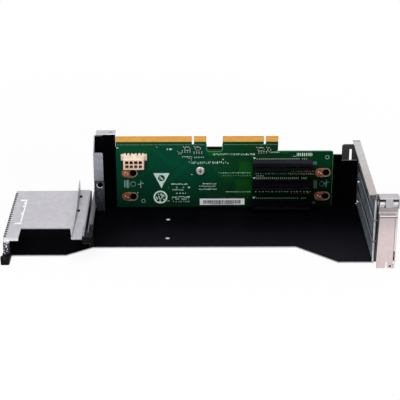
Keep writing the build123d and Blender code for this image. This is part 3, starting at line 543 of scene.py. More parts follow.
@dataclass(frozen=True)
class InkFinish(Finish):
    """Printed ink that is thin in places, so that a little of what lies below it shows."""

    below: Colour = (0.0, 0.06, 0.03)
    thin_share: float = 0.35
    roughness: float = 0.55
    gloss_swing: Pair = (0.08, 0.1)

    def lay(self, graph: Graph) -> None:
        """Fine noise thins the ink, a second one gives its edges and gloss.

        Args:
            graph: The material's nodes.
        """
        graph.steady(metallic=0.0, specular_ior_level=0.3)
        thin = graph.spread(graph.noise(1300.0, 3.0), 0.0, self.thin_share, 0.5, 0.72)
        graph.colour(graph.mixed(thin, self.colour, self.below))
        graph.roughness(graph.around(graph.noise(2100.0, 2.0), self.roughness, self.gloss_swing))
        graph.height(graph.noise(1700.0, 2.0), 0.006, 0.4)


@dataclass(frozen=True)
class PaperFinish(Finish):
    """Coated label paper: fibres, a slight yellowing and a weak sheen."""
    cloud_scale: float = 60.0
    fibre_scale: float = 1800.0

    def lay(self, graph: Graph) -> None:
        """Fibres for bump and gloss, clouds for the colour.

        Args:
            graph: The material's nodes.
        """
        graph.steady(metallic=0.0, specular_ior_level=0.35)
        clouds = graph.spread(graph.noise(self.cloud_scale, 3.0), 0.0, 1.0)
        graph.colour(graph.mixed(clouds, self.colour, self.shade(0.93)))
        fibres = graph.noise(self.fibre_scale, 4.0, (0.4, 1.0, 1.0))
        graph.roughness(graph.spread(fibres, 0.5, 0.66))
        graph.height(fibres, 0.006, 0.3)


@dataclass(frozen=True)
class BackdropFinish(Finish):
    """White studio floor that keeps a soft shadow under the object."""

    glow: float = 0.86
    near: float = 0.16
    far: float = 0.5

    def lay(self, graph: Graph) -> None:
        """Lit white paper, lifted to plain white where it is seen or mirrored, and wholly far away.

        Args:
            graph: The material's nodes.
        """
        graph.steady(metallic=0.0, roughness=0.9, specular_ior_level=0.0, base_color=(*self.colour, 1.0))
        path = graph.node("ShaderNodeLightPath")
        seen = graph.maths("MAXIMUM", path.outputs["Is Camera Ray"], path.outputs["Is Glossy Ray"])
        seen = graph.maths("MAXIMUM", seen, path.outputs["Is Transmission Ray"])
        distance = graph.node("ShaderNodeVectorMath", operation="LENGTH")
        graph.join(graph.place, distance.inputs[0])
        lift = graph.spread(distance.outputs["Value"], self.glow, 1.0, self.near, self.far)
        glow = graph.node("ShaderNodeEmission")
        both = graph.node("ShaderNodeMixShader")
        graph.join(graph.maths("MULTIPLY", seen, lift), both.inputs["Fac"])
        graph.join(graph.shader.outputs["BSDF"], both.inputs[1])
        graph.join(glow.outputs["Emission"], both.inputs[2])
        graph.join(both.outputs["Shader"], graph.tree.nodes["Material Output"].inputs["Surface"])


CAGE_ZINC = SheetFinish("cage_zinc", (0.47, 0.47, 0.49), rolling=Rolling.ALONG_X)
SHELF_ZINC = SheetFinish(
    "shelf_zinc", (0.5, 0.49, 0.525), roughness=0.5, metallic=0.75, rolling=Rolling.ALONG_Y, tints=(
        Tint((0.86, 0.86, 0.87), (("X", -37.0, -34.0), ("Z", 5.0, 6.0))),  # painted shade of the rib on the shelf to its right
        Tint((0.14, 0.14, 0.16),  # painted shade on the front left leg
             (("X", -89.0, -89.6), ("Z", 15.6, 14.6), ("Y", -99.0, -100.5))),
        Tint((0.08, 0.08, 0.09), (("X", -25.0, -24.6),)),  # painted shade at the edge by the low wall
        Tint((0.06, 0.06, 0.07),  # painted shade on the front right foot
             (("X", -28.5, -27.5), ("Z", 13.0, 10.0), ("Y", -78.0, -82.0))),
    ))
BRACKET_ZINC = SheetFinish(
    "bracket_zinc", (0.36, 0.375, 0.415), roughness=0.36, rolling=Rolling.ALONG_Z,
    crystal_share=0.2, tints=(
        Tint((0.36, 0.37, 0.39), (("Z", 34.0, 29.0), ("Y", -6.4, -5.0))),  # painted shade on the strip below its hole
        Tint((0.3, 0.28, 0.31), (("Z", 23.2, 23.3), ("Y", -8.0, -12.0))),  # painted shade on the top edge of the low wall
        Tint((0.05, 0.05, 0.06), (("Z", 14.0, 11.0), ("Y", -79.0, -82.0))),  # painted shade on the low wall's front foot
    ))
# Painted sheen: a paler, barely metallic zinc that makes the low wall's inner side look lit.
PAINTED_SHEEN_ZINC = SheetFinish("painted_sheen_zinc", (0.4, 0.365, 0.42), roughness=0.55, metallic=0.1,
                        rolling=Rolling.ALONG_Y, crystal_share=0.1)
# Painted shade: a dark zinc for the strip along the rib's fold.
FOLD_SHADE_ZINC = SheetFinish("fold_shade_zinc", (0.24, 0.255, 0.25), roughness=0.5, metallic=0.6,
                        rolling=Rolling.ALONG_Y)
PANEL_ZINC = SheetFinish(
    "panel_zinc", (0.5, 0.5, 0.515), roughness=0.36, rolling=Rolling.ALONG_Y, tints=(
        Tint((0.15, 0.13, 0.13), (("Y", 9.6, 10.4),)),  # painted shade on the back flange
        Tint((0.94, 0.84, 0.78), (("Y", -25.0, -75.0),)),  # toward the front
    ))
LATCH_STEEL = SheetFinish(
    "latch_steel", (0.71, 0.585, 0.588), roughness=0.38, metallic=0.85,
    rolling=Rolling.ALONG_Z, crystal_share=0.04, tints=(
        Tint((0.55, 0.6, 0.62), (("Z", 51.2, 51.9),)),  # painted shade above the ledge
        Tint((0.3, 0.3, 0.32), (("Z", 48.7, 49.0), ("Z", 50.0, 49.7))),  # painted shade in the crease
        Tint((0.76, 0.79, 0.8), (("Z", 34.0, 48.0), ("Z", 49.9, 49.6))),  # painted shade on the upper face
        Tint((1.0, 1.15, 1.14), (("Z", 49.8, 50.0), ("Z", 52.0, 51.8))),  # painted highlight on the ledge
        Tint((1.75, 1.95, 1.9), (("Z", 56.4, 56.9),)),  # painted highlight on the knuckles
        Tint((0.5, 0.5, 0.5),  # painted shade in the right lip's fold
             (("X", 246.1, 246.4), ("X", 247.1, 246.8), ("Z", 48.6, 48.2))),
        Tint((1.12, 1.22, 1.2), (("X", 246.8, 247.1), ("Z", 48.6, 48.2))),  # painted highlight on the right lip
        Tint((0.05, 0.04, 0.04),  # painted shade: a dark spot at the foot
             (("X", 243.3, 243.6), ("X", 245.7, 245.4), ("Z", 1.3, 1.5), ("Z", 3.4, 3.2))),
        Tint((0.07, 0.06, 0.06), (("X", 233.1, 232.7), ("Y", -126.9, -126.5))),  # painted shade in the gap at the left edge
    ))
HINGE_STEEL = SheetFinish(
    "hinge_steel", (0.47, 0.45, 0.475), roughness=0.36, metallic=0.85, rolling=Rolling.ALONG_X,
    crystal_share=0.05, tints=(
        Tint((0.12, 0.12, 0.14), (("X", 232.9, 232.5),)),  # painted shade in the gap at the left edge
    ))
COVER_STEEL = SheetFinish(
    "cover_steel", (0.62, 0.7, 0.8), roughness=0.34, rolling=Rolling.ALONG_Y, crystal_share=0.2, tints=(
        Tint((0.86, 0.83, 0.8), (("Y", -110.0, -113.0),)),  # folded tabs
        Tint((0.97, 0.93, 0.88), (("X", 230.2, 230.5),)),  # edges
        Tint((0.06, 0.06, 0.07), (("X", 231.2, 231.4),)),  # painted shadow on the folds behind the face, by the door
    ))
FASTENER_STEEL = PlatingFinish("fastener_steel", (0.62, 0.6, 0.61), (0.2, 0.18, 0.18), 0.35, 0.24)
HOOK_STEEL = PlatingFinish("hook_steel", (0.5, 0.19, 0.12), (0.13, 0.025, 0.015), 0.8, 0.2, 0.7)
# Black film, also the finish of painted shade: dark hole bottoms and dark bands on the slot covers.
BLACK_FILM_AND_SHADE = FilmFinish("black_film", (0.0012, 0.0013, 0.0022))
BLACK_MOULDING = MouldingFinish("black_moulding", (0.005, 0.004, 0.006), 0.42, 0.05)
SLOT_MOULDING = MouldingFinish(
    "slot_moulding", (0.029, 0.027, 0.034), 0.4, 0.04, tints=(
        Tint((0.1, 0.1, 0.13), (("Z", 49.3, 48.3),)),  # painted shade on the middle and lower slot
        Tint((0.16, 0.16, 0.2), (("Y", -7.0, -7.8), ("Z", 49.0, 49.2))),  # painted shade on the front of the upper slot
        Tint((0.6, 0.6, 0.8), (("Z", 22.0, 14.0),)),  # more painted shade on the lower slot
    ))
IVORY_MOULDING = MouldingFinish(
    "ivory_moulding", (0.93, 0.68, 0.53), 0.5, 0.2, tints=(
        Tint((0.3, 0.11, 0.04),  # painted shade inside the sockets
             (("X", 8.8, 9.1), ("X", 25.2, 24.9), ("Z", 48.0, 48.3), ("Z", 55.9, 55.6),
              ("Y", -12.95, -12.4))),
        Tint((1.06, 1.2, 1.3), (("Z", 56.2, 56.8),)),  # top block
        Tint((1.9, 1.8, 1.3),  # less painted shade in the lower row of sockets
             (("X", 8.8, 9.1), ("X", 25.2, 24.9), ("Z", 48.0, 48.3), ("Z", 52.2, 51.9),
              ("Y", -12.95, -12.4))),
    ))
BOARD_TINTS = (
    Tint((1.0, 0.42, 0.4), (("Z", 44.0, 6.0),)),  # painted shade toward the foot
    Tint((1.0, 0.66, 0.36), (("X", 70.0, 125.0),)),  # toward the right
    Tint((0.4, 0.36, 0.4), (("X", 122.0, 133.0), ("Z", 46.0, 40.0))),  # painted shadow between the slots
)
BOARD_MASK = MaskFinish("board_mask", (0.0007, 0.059, 0.037), tints=BOARD_TINTS)
TRACE_MASK = MaskFinish("trace_mask", (0.0015, 0.084, 0.042), yellow=0.5, tints=BOARD_TINTS)
POUR_MASK = MaskFinish("pour_mask", (0.003, 0.082, 0.018), yellow=0.7, tints=BOARD_TINTS[:1])
LAP_MASK = MaskFinish("lap_mask", (0.0007, 0.059, 0.037), laminate_from=90.0)
RIM_MASK = MaskFinish("rim_mask", (0.07, 0.3, 0.2), tints=BOARD_TINTS[:1])
GOLD = PlatingFinish("gold_plate", (1.0, 0.52, 0.1), (0.85, 0.3, 0.04), 0.4, 0.3)
# Tin plating, also the finish of the painted highlights on the slot covers' edges and ridges.
TIN_AND_HIGHLIGHT = PlatingFinish("tin_plate", (0.8, 0.79, 0.76), (0.45, 0.42, 0.38), 0.25, 0.32)
DULL_TIN = PlatingFinish("dull_tin", (0.3, 0.3, 0.29), (0.12, 0.1, 0.09), 0.5, 0.36)
# Painted shade: the pins are dark brown so that the sockets look shaded.
HEADER_PIN_SHADE = PlatingFinish("header_pin_shade", (0.2, 0.08, 0.035), (0.06, 0.02, 0.01), 0.6, 0.4)
COPPER = PlatingFinish(
    "bare_copper", (0.42, 0.12, 0.055), (0.14, 0.03, 0.012), 0.6, 0.42, 0.4, tints=(
        Tint((0.24, 0.26, 0.2), (("X", 12.6, 13.6), ("X", 40.0, 30.0))),  # left pads by their entries
        Tint((0.24, 0.26, 0.2), (("X", 195.8, 196.8),)),  # right pads by their entries
    ))
PAD_RIM = PlatingFinish("pad_rim", (0.62, 0.46, 0.34), (0.3, 0.2, 0.12), 0.5, 0.4, 0.6)
WHITE_INK = InkFinish("white_ink", (0.66, 0.86, 0.78))
FAINT_INK = InkFinish("faint_ink", (0.25, 0.4, 0.35), thin_share=0.6)
DOT_INK = InkFinish("dot_ink", (0.5, 0.62, 0.55), thin_share=0.4)
# Bright ink, also the finish of painted highlights: the strip hole's rim, the slot covers' glints and the
# flange's glint.
BRIGHT_INK_AND_HIGHLIGHT = InkFinish("bright_ink_and_highlight", (0.95, 0.94, 0.96), below=(0.7, 0.7, 0.72), thin_share=0.15)
BLUE_INK = InkFinish("blue_ink", (0.11, 0.2, 0.23), thin_share=0.5)
COPPER_INK = InkFinish("copper_ink", (0.42, 0.2, 0.13), thin_share=0.5)
BLACK_INK = InkFinish("black_ink", (0.02, 0.02, 0.045), below=(0.3, 0.3, 0.36), thin_share=0.25)
HOOK_GLINT = InkFinish("hook_glint", (0.85, 0.55, 0.48), below=(0.6, 0.25, 0.18), thin_share=0.7)
RED_SHADE = InkFinish("red_shade", (0.12, 0.02, 0.02), below=(0.3, 0.1, 0.1), thin_share=0.3)
WHITE_LABEL = PaperFinish("white_label", (0.93, 0.93, 0.97))
CAPACITOR_BODY = MouldingFinish("capacitor_body", (0.06, 0.035, 0.022), 0.4, 0.3)
CHIP_BODY = MouldingFinish("chip_body", (0.006, 0.008, 0.007), 0.35, 0.15)
STUDIO_WHITE = BackdropFinish("studio_white", (0.93, 0.93, 0.93))


# Mesh making


class Stock:
    """Raw shape of one added piece, in millimetres of the frame."""

    def __init__(self, name: str) -> None:
        """Starts an empty shape of that name."""
        self.name = name
        self.mesh = bmesh.new()

    def block(self, low: Sequence[float], high: Sequence[float], bevel: float = 0.0) -> None:
        """Adds a block, with its edges bevelled where bevel is given.

        Args:
            low: Lowest corner in millimetres.
            high: Highest corner in millimetres.
            bevel: Width of the bevel in millimetres.
        """
        size = [b - a for a, b in zip(low, high)]
        middle = Vector([(a + b) / 2 for a, b in zip(low, high)]) * MM
        matrix = Matrix.Translation(middle) @ Matrix.Diagonal((*[s * MM for s in size], 1.0))
        made = bmesh.ops.create_cube(self.mesh, size=1.0, matrix=matrix)
        if bevel > 0:
            edges = list({edge for vert in made["verts"] for edge in vert.link_edges})
            bmesh.ops.bevel(self.mesh, geom=edges, offset=bevel * MM, segments=1, affect="EDGES")

    def plate(self, outlines: Sequence[Sequence[Point]], face: Face, front: float, back: float) -> None:
        """Adds a flat plate with an outer outline and holes.

        Args:
            outlines: The outer outline, then one for each hole, in millimetres.
            face: Which way the plate looks.
            front: Depth of one side.
            back: Depth of the other side.
        """
        edges = []
        for outline in outlines:
            loop = [self.mesh.verts.new(face.point(a, b, front)) for a, b in outline]
            edges += [self.mesh.edges.new((loop[i - 1], loop[i])) for i in range(len(loop))]
        filled = bmesh.ops.triangle_fill(self.mesh, use_beauty=True, use_dissolve=False, edges=edges)
        faces = [item for item in filled["geom"] if isinstance(item, bmesh.types.BMFace)]
        grown = bmesh.ops.extrude_face_region(self.mesh, geom=faces, use_keep_orig=True)
        moved = [item for item in grown["geom"] if isinstance(item, bmesh.types.BMVert)]
        bmesh.ops.translate(self.mesh, verts=moved, vec=face.point(0.0, 0.0, back - front))

    def turned(self, centre: Point, profile: Sequence[Point], face: Face, sides: int = 16) -> None:
        """Adds a turned shape.

        Args:
            centre: The axis, as the face's two numbers.
            profile: Radius and depth of each ring. A radius of 0 closes the shape.
            face: The axis goes along this face's depth.
            sides: Sides of each ring.
        """
        rings = []
        for radius, depth in profile:
            points = circle(centre, radius, sides) if radius else [centre]
            rings.append([self.mesh.verts.new(face.point(*point, depth)) for point in points])
        for near, far in zip(rings, rings[1:]):
            for i in range(sides):
                around = [near[(i - 1) % len(near)], near[i % len(near)],
                          far[i % len(far)], far[(i - 1) % len(far)]]
                self.mesh.faces.new(list(dict.fromkeys(around)))

    def line(self, points: Sequence[Point], width: float, face: Face, front: float, back: float) -> None:
        """Adds a flat line of even width that turns corners on a mitre.

        Args:
            points: Corners of its middle, in millimetres.
            width: Width of the line.
            face: Which way the line looks.
            front: Depth of one side.
            back: Depth of the other side.
        """
        middle = [Vector(p) for p in points]
        left, right = [], []
        for i, here in enumerate(middle):
            before = (here - middle[i - 1]).normalized() if i else None
            after = (middle[i + 1] - here).normalized() if i + 1 < len(middle) else None
            heading = ((before or after) + (after or before)).normalized()
            normal = Vector((-heading.y, heading.x))
            across = normal * (width / 2 / max(SHARPEST_MITRE, heading.dot(before or after)))
            left.append(tuple(here + across))
            right.append(tuple(here - across))
        sides = [[self.mesh.verts.new(face.point(*p, depth)) for p in row]
                 for row, depth in ((left, front), (right, front), (right, back), (left, back))]
        for near, far in zip(sides, sides[1:] + sides[:1]):
            for i in range(len(middle) - 1):
                self.mesh.faces.new((near[i], near[i + 1], far[i + 1], far[i]))
        for end in (0, -1):
            self.mesh.faces.new([side[end] for side in sides])

    def piece(self, finish: Finish, smooth: bool = False) -> bpy.types.Object:
        """Turns the shape into an object that rides on the cage.

        Args:
            finish: Its finish.
            smooth: Whether its faces are shaded smooth below a sharp angle.

        Returns:
            The object.
        """
        bmesh.ops.recalc_face_normals(self.mesh, faces=self.mesh.faces)
        data = bpy.data.meshes.new(self.name)
        self.mesh.to_mesh(data)
        self.mesh.free()
        made = bpy.data.objects.new(self.name, data)
        bpy.context.scene.collection.objects.link(made)
        data.materials.append(finish.material())
        if smooth:
            for polygon in data.polygons:
                polygon.use_smooth = True
            made.modifiers.new("even_shading", "WEIGHTED_NORMAL")
        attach(made, CAGE_BODY)
        log.info("added %s: %d faces on %s", self.name, len(data.polygons), CAGE_BODY)
        return made


def points_at(centre: Point, radius: float, turns: Sequence[float]) -> list[Point]:
    """Points on a circle.

    Args:
        centre: Its middle in millimetres.
        radius: Its radius in millimetres.
        turns: Angle of each point in radians.

    Returns:
        The points, in order.
    """
    return [(centre[0] + radius * math.cos(t), centre[1] + radius * math.sin(t)) for t in turns]


def arc(centre: Point, radius: float, start: float, step: float, count: int) -> list[Point]:
    """Points along part of a circle.

    Args:
        centre: Its middle in millimetres.
        radius: Its radius in millimetres.
        start: Angle of the first point in degrees.
        step: Angle from each point to the next.
        count: How many points.

    Returns:
        The points, in order.
    """
    return points_at(centre, radius, [math.radians(start + step * i) for i in range(count)])


def circle(centre: Point, radius: float, sides: int = 24) -> list[Point]:
    """Points all round a circle.

    Args:
        centre: Its middle in millimetres.
        radius: Its radius in millimetres.
        sides: How many points.

    Returns:
        The points, in order.
    """
    return points_at(centre, radius, [2 * math.pi * i / sides for i in range(sides)])


def corners(node: str) -> tuple[Vector, Vector]:
    """Lowest and highest corner of a CAD node, in millimetres."""
    low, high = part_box(node)
    return low / MM, high / MM


def frame_outline(left: float, right: float, bottom: float, top: float) -> list[Point]:
    """The four corners of an upright rectangle, in order."""
    return [(left, bottom), (right, bottom), (right, top), (left, top)]


def dress(nodes: Iterable[str], finish: Finish) -> None:
    """Gives CAD nodes their finish.

    Args:
        nodes: Names of the nodes.
        finish: What they are dressed in.
    """
    for name in nodes:
        made = bpy.data.objects[name]
        made.data.materials.clear()
        made.data.materials.append(finish.material())
        log.info("dressed %s in %s", name, finish.name)


# The object's sub-assemblies


@dataclass
class SheetCage:
    """The folded cage: shell, film, end bracket, panel with its covers, shelf and rib."""

    covers: tuple[str, ...] = ("slot_cover_1", "slot_cover_2", "slot_cover_3")
    shelf_top: float = 18.2
    bead_top: float = 18.7
    bead_lines: tuple[Area, ...] = (
        (-84.4, -83.1, -71.6, -17.6), (-89.4, -84.4, -71.6, -69.2), (-89.4, -84.4, -20.0, -17.6),
        (-85.6, -84.4, -27.4, -23.6), (-85.9, -84.4, -33.9, -31.5), (-85.6, -84.4, -50.6, -47.0))
    slit_first: float = -2.5
    slit_pitch: float = 4.7
    slit_count: int = 21
    slit_half: float = 1.35
    slit_drop: float = 1.3
    slit_reach: float = 2.3
    # Places and size of the painted shade over the holes by the rib.
    rib_hole_shades: tuple[Point, ...] = ((-33.2, -11.6), (-33.2, -43.8))
    rib_hole_shade_radius: float = 1.4
    rib_hole_shade_stretch: float = 1.75
    rib_foot_top: float = 19.2
    rib_tail: Area = (-35.65, -25.85, -103.4, -78.9)
    # Outline of the strip of painted shade along the rib's fold.
    rib_fold_shade: tuple[Point, ...] = (
        (0.1, -102.4), (1.3, -102.4), (2.0, -70.0), (2.4, -50.0), (2.0, -30.0), (1.5, -8.0), (0.1, -8.0))
    # Place and heights of the painted sheen on the low wall's inner side.
    painted_wall_sheen: tuple[float, float, float] = (-20.2, -79.0, -12.0)
    painted_wall_sheen_heights: Pair = (3.0, 23.3)
    leg_fleck_count: int = 15
    leg_fleck_across: Pair = (-95.0, -91.0)
    leg_fleck_foot: float = 3.4
    leg_fleck_pitch: float = 0.85
    leg_fleck_sizes: Pair = (0.25, 0.6)
    strip_hole: Point = (-15.5, 28.0)
    strip_hole_shade: tuple[Point, ...] = ((0.0, -4.1), (2.47, -4.1), (2.47, -3.9), (0.0, -3.9))
    # Radius of the painted highlight on the rim below the strip's hole.
    strip_rim_highlight_radius: float = 2.9
    strip_flecks: tuple[Spot, ...] = (
        (-16.6, 20.2, 0.45), (-15.9, 18.9, 0.35), (-16.9, 17.4, 0.3), (-14.2, 21.6, 0.3),
        (-15.2, 14.9, 0.4), (-13.4, 18.2, 0.25), (-16.2, 12.0, 0.35), (-14.4, 10.6, 0.3),
        (-13.2, 24.4, 0.25), (-17.4, 22.8, 0.25))
    cover_face: float = 229.6
    cover_bottoms: tuple[float, ...] = (1.69, 22.01, 42.33)
    # Bands of painted highlight and of painted shade on each slot cover, and the place of its painted
    # glint.
    cover_ridge_highlights: tuple[tuple[float, ...], ...] = (
        (-112.0, 0.5, 17.72, 18.32, 0.12), (-100.0, -8.0, 6.4, 6.9, 0.1))
    cover_gap_shades: tuple[tuple[float, ...], ...] = (
        (-100.0, -8.0, 5.6, 6.4, 0.1), (-114.0, 1.5, 0.05, 2.3, 0.12), (-100.0, -8.0, 13.02, 13.62, 0.1))
    cover_glint: Point = (-6.5, 9.2)
    flange_hole: Point = (227.75, -34.0)

    def build(self) -> None:
        """Dresses the sheet parts and adds what is printed on them, with their painted shade and painted
        highlights.
        """
        self.dress_sheets()
        self.add_bright_bead_top()
        self.add_edge_slits()
        self.add_hole_shades()
        self.add_rib_tail()
        self.add_painted_wall_sheen()
        self.add_leg_flecks()
        self.add_strip_marks()
        self.add_cover_edges()
        self.add_flange_glint()

    def dress_sheets(self) -> None:
        """Gives the folded sheets, the films and the black mouldings their finishes."""
        dress(("cage_shell",), CAGE_ZINC)
        dress(("insulator_film", "flange_film"), BLACK_FILM_AND_SHADE)
        dress(("end_bracket",), BRACKET_ZINC)
        dress(("slot_panel",), PANEL_ZINC)
        dress(("side_tray", "tray_rib"), SHELF_ZINC)
        dress(self.covers, COVER_STEEL)
        dress(("corner_clip", "tray_foot"), BLACK_MOULDING)

    def add_bright_bead_top(self) -> None:
        """Bright top of the raised bead on the shelf."""
        bright_top = Stock("bright_bead_top")
        for left, right, near, far in self.bead_lines:
            bright_top.block((left, near, self.shelf_top - 0.05), (right, far, self.bead_top + 0.04), 0.03)
        bright_top.piece(BRIGHT_INK_AND_HIGHLIGHT)

    def add_edge_slits(self) -> None:
        """Small dark slits along the fold at the shelf's outer edge."""
        left = corners("side_tray")[0].x
        slits = Stock("edge_slits")
        for i in range(self.slit_count):
            y = self.slit_first - self.slit_pitch * i
            slits.block((left, y - self.slit_half, self.shelf_top - self.slit_drop),
                        (left + self.slit_reach, y + self.slit_half, self.shelf_top + 0.05), 0.05)
        slits.piece(BLACK_MOULDING)

    def add_hole_shades(self) -> None:
        """Painted shade: dark long ovals over the holes by the rib, and a dark disc at the bottom of the
        hole in the bracket's strip.
        """
        shades = Stock("hole_shades")
        for x, y in self.rib_hole_shades:
            round_shade = circle((x, y), self.rib_hole_shade_radius, 20)
            long_shade = [(a, y + (b - y) * self.rib_hole_shade_stretch) for a, b in round_shade]
            shades.plate([long_shade], Face.PLAN, self.shelf_top - 0.3, self.rib_foot_top + 0.05)
        shades.turned(self.strip_hole, self.strip_hole_shade, Face.FRONT, 24)
        shades.piece(BLACK_FILM_AND_SHADE)

    def add_rib_tail(self) -> None:
        """Front end of the rib's foot, which runs on to the shelf's front edge, and a dark strip of painted
        shade along its fold.
        """
        left, right, near, far = self.rib_tail
        tail = Stock("rib_tail")
        tail.block((left, near, self.shelf_top - 0.02), (right, far, self.rib_foot_top - 0.01), 0.2)
        tail.piece(SHELF_ZINC)
        # Painted shade along the rib's fold.
        fold = Stock("rib_fold_shade")
        top = self.rib_foot_top + 0.02
        fold.plate([[(left + x, y) for x, y in self.rib_fold_shade]], Face.PLAN, top, top - 0.2)
        fold.piece(FOLD_SHADE_ZINC)

    def add_painted_wall_sheen(self) -> None:
        """Painted sheen: a duller, paler plate on the low wall's inner side, beside the shelf, that makes
        it look lit.
        """
        inner, near, far = self.painted_wall_sheen
        bottom, top = self.painted_wall_sheen_heights
        # Painted sheen on the low wall's inner side.
        sheen = Stock("painted_wall_sheen")
        sheen.block((inner - 0.05, near, bottom), (inner + 0.08, far, top), 0.02)
        sheen.piece(PAINTED_SHEEN_ZINC)

    def add_leg_flecks(self) -> None:
        """Bright flecks between the small holes in the shelf's front left leg."""
        chance = random.Random(9)
        flecks = Stock("leg_flecks")
        front = corners("side_tray")[0].y
        for i in range(self.leg_fleck_count):
            x, z = chance.uniform(*self.leg_fleck_across), self.leg_fleck_foot + self.leg_fleck_pitch * i
            half = chance.uniform(*self.leg_fleck_sizes)
            flecks.block((x - half, front - 0.03, z - half * 0.8),
                         (x + half, front + 0.2, z + half * 0.8), 0.02)
        flecks.piece(BRIGHT_INK_AND_HIGHLIGHT)

    def add_strip_marks(self) -> None:
        """Painted highlight on the half rim below the strip's hole, and bright flecks on the strip."""
        rim = Stock("strip_hole_rim_highlight")
        lower_half = arc(self.strip_hole, self.strip_rim_highlight_radius, 165.0, 13.0, 13)
        rim.line(lower_half, 0.5, Face.FRONT, -4.72, -4.5)
        rim.piece(BRIGHT_INK_AND_HIGHLIGHT)
        flecks = Stock("strip_flecks")
        for x, z, radius in self.strip_flecks:
            flecks.turned((x, z), ((radius, -4.45), (radius, -4.62), (0.0, -4.66)), Face.FRONT, 7)
        flecks.piece(TIN_AND_HIGHLIGHT)

    def add_cover_edges(self) -> None:
        """Painted highlight on the upper edge and pressed ridges, painted shade on the lower edge, and a
        bright painted glint shaped as a dimple on each slot cover.
        """
        bright, dark, dots = Stock("cover_ridge_highlights"), Stock("cover_gap_shades"), Stock("cover_glints")
        face = self.cover_face
        dimple = ((0.0, face - 1.2), (0.8, face - 1.0), (0.9, face + 0.1))
        for bottom in self.cover_bottoms:
            for stock, bands in ((bright, self.cover_ridge_highlights), (dark, self.cover_gap_shades)):
                for near, far, foot, top, proud in bands:
                    stock.block((face - proud, near, bottom + foot), (face + 0.1, far, bottom + top), 0.04)
            y, rise = self.cover_glint
            dots.turned((y, bottom + rise), dimple, Face.SIDE, 12)
        # Painted highlights, painted shade and painted glints.
        bright.piece(TIN_AND_HIGHLIGHT)
        dark.piece(BLACK_FILM_AND_SHADE)
        dots.piece(BRIGHT_INK_AND_HIGHLIGHT)

    def add_flange_glint(self) -> None:
        """Painted light: a bright disc in the hole in the panel's top flange, in place of pale ground seen
        through it.
        """
        glint = Stock("flange_glint")
        disc = ((0.0, 65.75), (1.08, 65.75), (1.08, 65.5), (0.0, 65.5))
        glint.turned(self.flange_hole, disc, Face.PLAN, 16)
        glint.piece(BRIGHT_INK_AND_HIGHLIGHT)


@dataclass
class Fasteners:
    """Rivets, the board's screw and standoff, the hooks and the hinge pin."""

    steel: tuple[str, ...] = ("floor_rivets", "wall_rivets", "panel_rivets", "tab_rivets",
                              "board_standoff", "board_screw", "hinge_pin")

    def build(self) -> None:
        """Dresses the fasteners."""
        dress(self.steel, FASTENER_STEEL)
        dress(("hook_studs",), HOOK_STEEL)


@dataclass
class Retainer:
    """The card retainer: its bracket on the panel and the door that swings on the pin."""

    fixed_parts: tuple[str, ...] = ("latch_bracket", "latch_rivets")
    door: str = "retainer_door"

    def build(self) -> None:
        """Dresses the bracket and the door."""
        dress(self.fixed_parts, HINGE_STEEL)
        dress((self.door,), LATCH_STEEL)


@dataclass
class LegendRow:
    """A row of short printed dashes, which stands in for small print without any letters."""

    left: float
    right: float
    middle: float
    height: float = 0.9
    dash: float = 0.8
    gap: float = 0.7
    shortest: float = 0.15
    post: float = 0.32
    smallest_print: float = 0.85
    largest_print: float = 2.5

    def dashes(self, chance: random.Random) -> list[Pair]:
        """Left and right ends of each dash.

        Args:
            chance: Seeded source of the uneven lengths.

        Returns:
            Pairs of ends, from left to right.
        """
        found = []
        x = self.left
        while x < self.right:
            length = min(self.dash * chance.uniform(0.6, 1.5), self.right - x)
            if length > self.shortest:
                found.append((x, x + length))
            x += length + self.gap * chance.uniform(0.7, 1.4)
        return found

    def strokes(self, left: float, right: float, chance: random.Random) -> list[list[Point]]:
        """Outlines of one dash: a whole block, two posts, or a low or high part of it.

        Args:
            left: The dash's left end.
            right: Its right end.
            chance: Seeded source of the choice.

        Returns:
            One or two rectangles.
        """
        bottom, top = self.middle - self.height / 2, self.middle + self.height / 2
        whole = [frame_outline(left, right, bottom, top)]
        if not self.smallest_print <= self.height <= self.largest_print:
            return whole
        post = min(self.post, (right - left) / 3)
        shape = chance.choice(("posts", "posts", "low", "high", "whole"))
        if shape == "posts":
            return [frame_outline(left, left + post, bottom, top),
                    frame_outline(right - post, right, bottom, top)]
        if shape == "low":
            return [frame_outline(left, right, bottom, self.middle)]
        if shape == "high":
            return [frame_outline(left, right, self.middle, top)]
        return whole


@dataclass
class TraceBundle:
    """Parallel copper traces under the mask, each a shift away from the one before."""

    route: tuple[Point, ...]
    count: int
    shift: Point
    width: float = 0.3

    def routes(self) -> list[list[Point]]:
        """The middle line of each trace."""
        return [[(x + self.shift[0] * i, z + self.shift[1] * i) for x, z in self.route]
                for i in range(self.count)]


@dataclass(frozen=True)
class ChipKind:
    """One kind of chip: its node, its piece and finish, where its rows start, and its size."""

    node: str
    name: str
    slot: str
    finish: Finish
    starts: tuple[Point, ...]
    wide: float
    high: float
    pitch: float = 2.4
    row: int = 4

    def places(self) -> list[Point]:
        """Middle of every chip."""
        return [(x + self.pitch * i, z) for x, z in self.starts for i in range(self.row)]


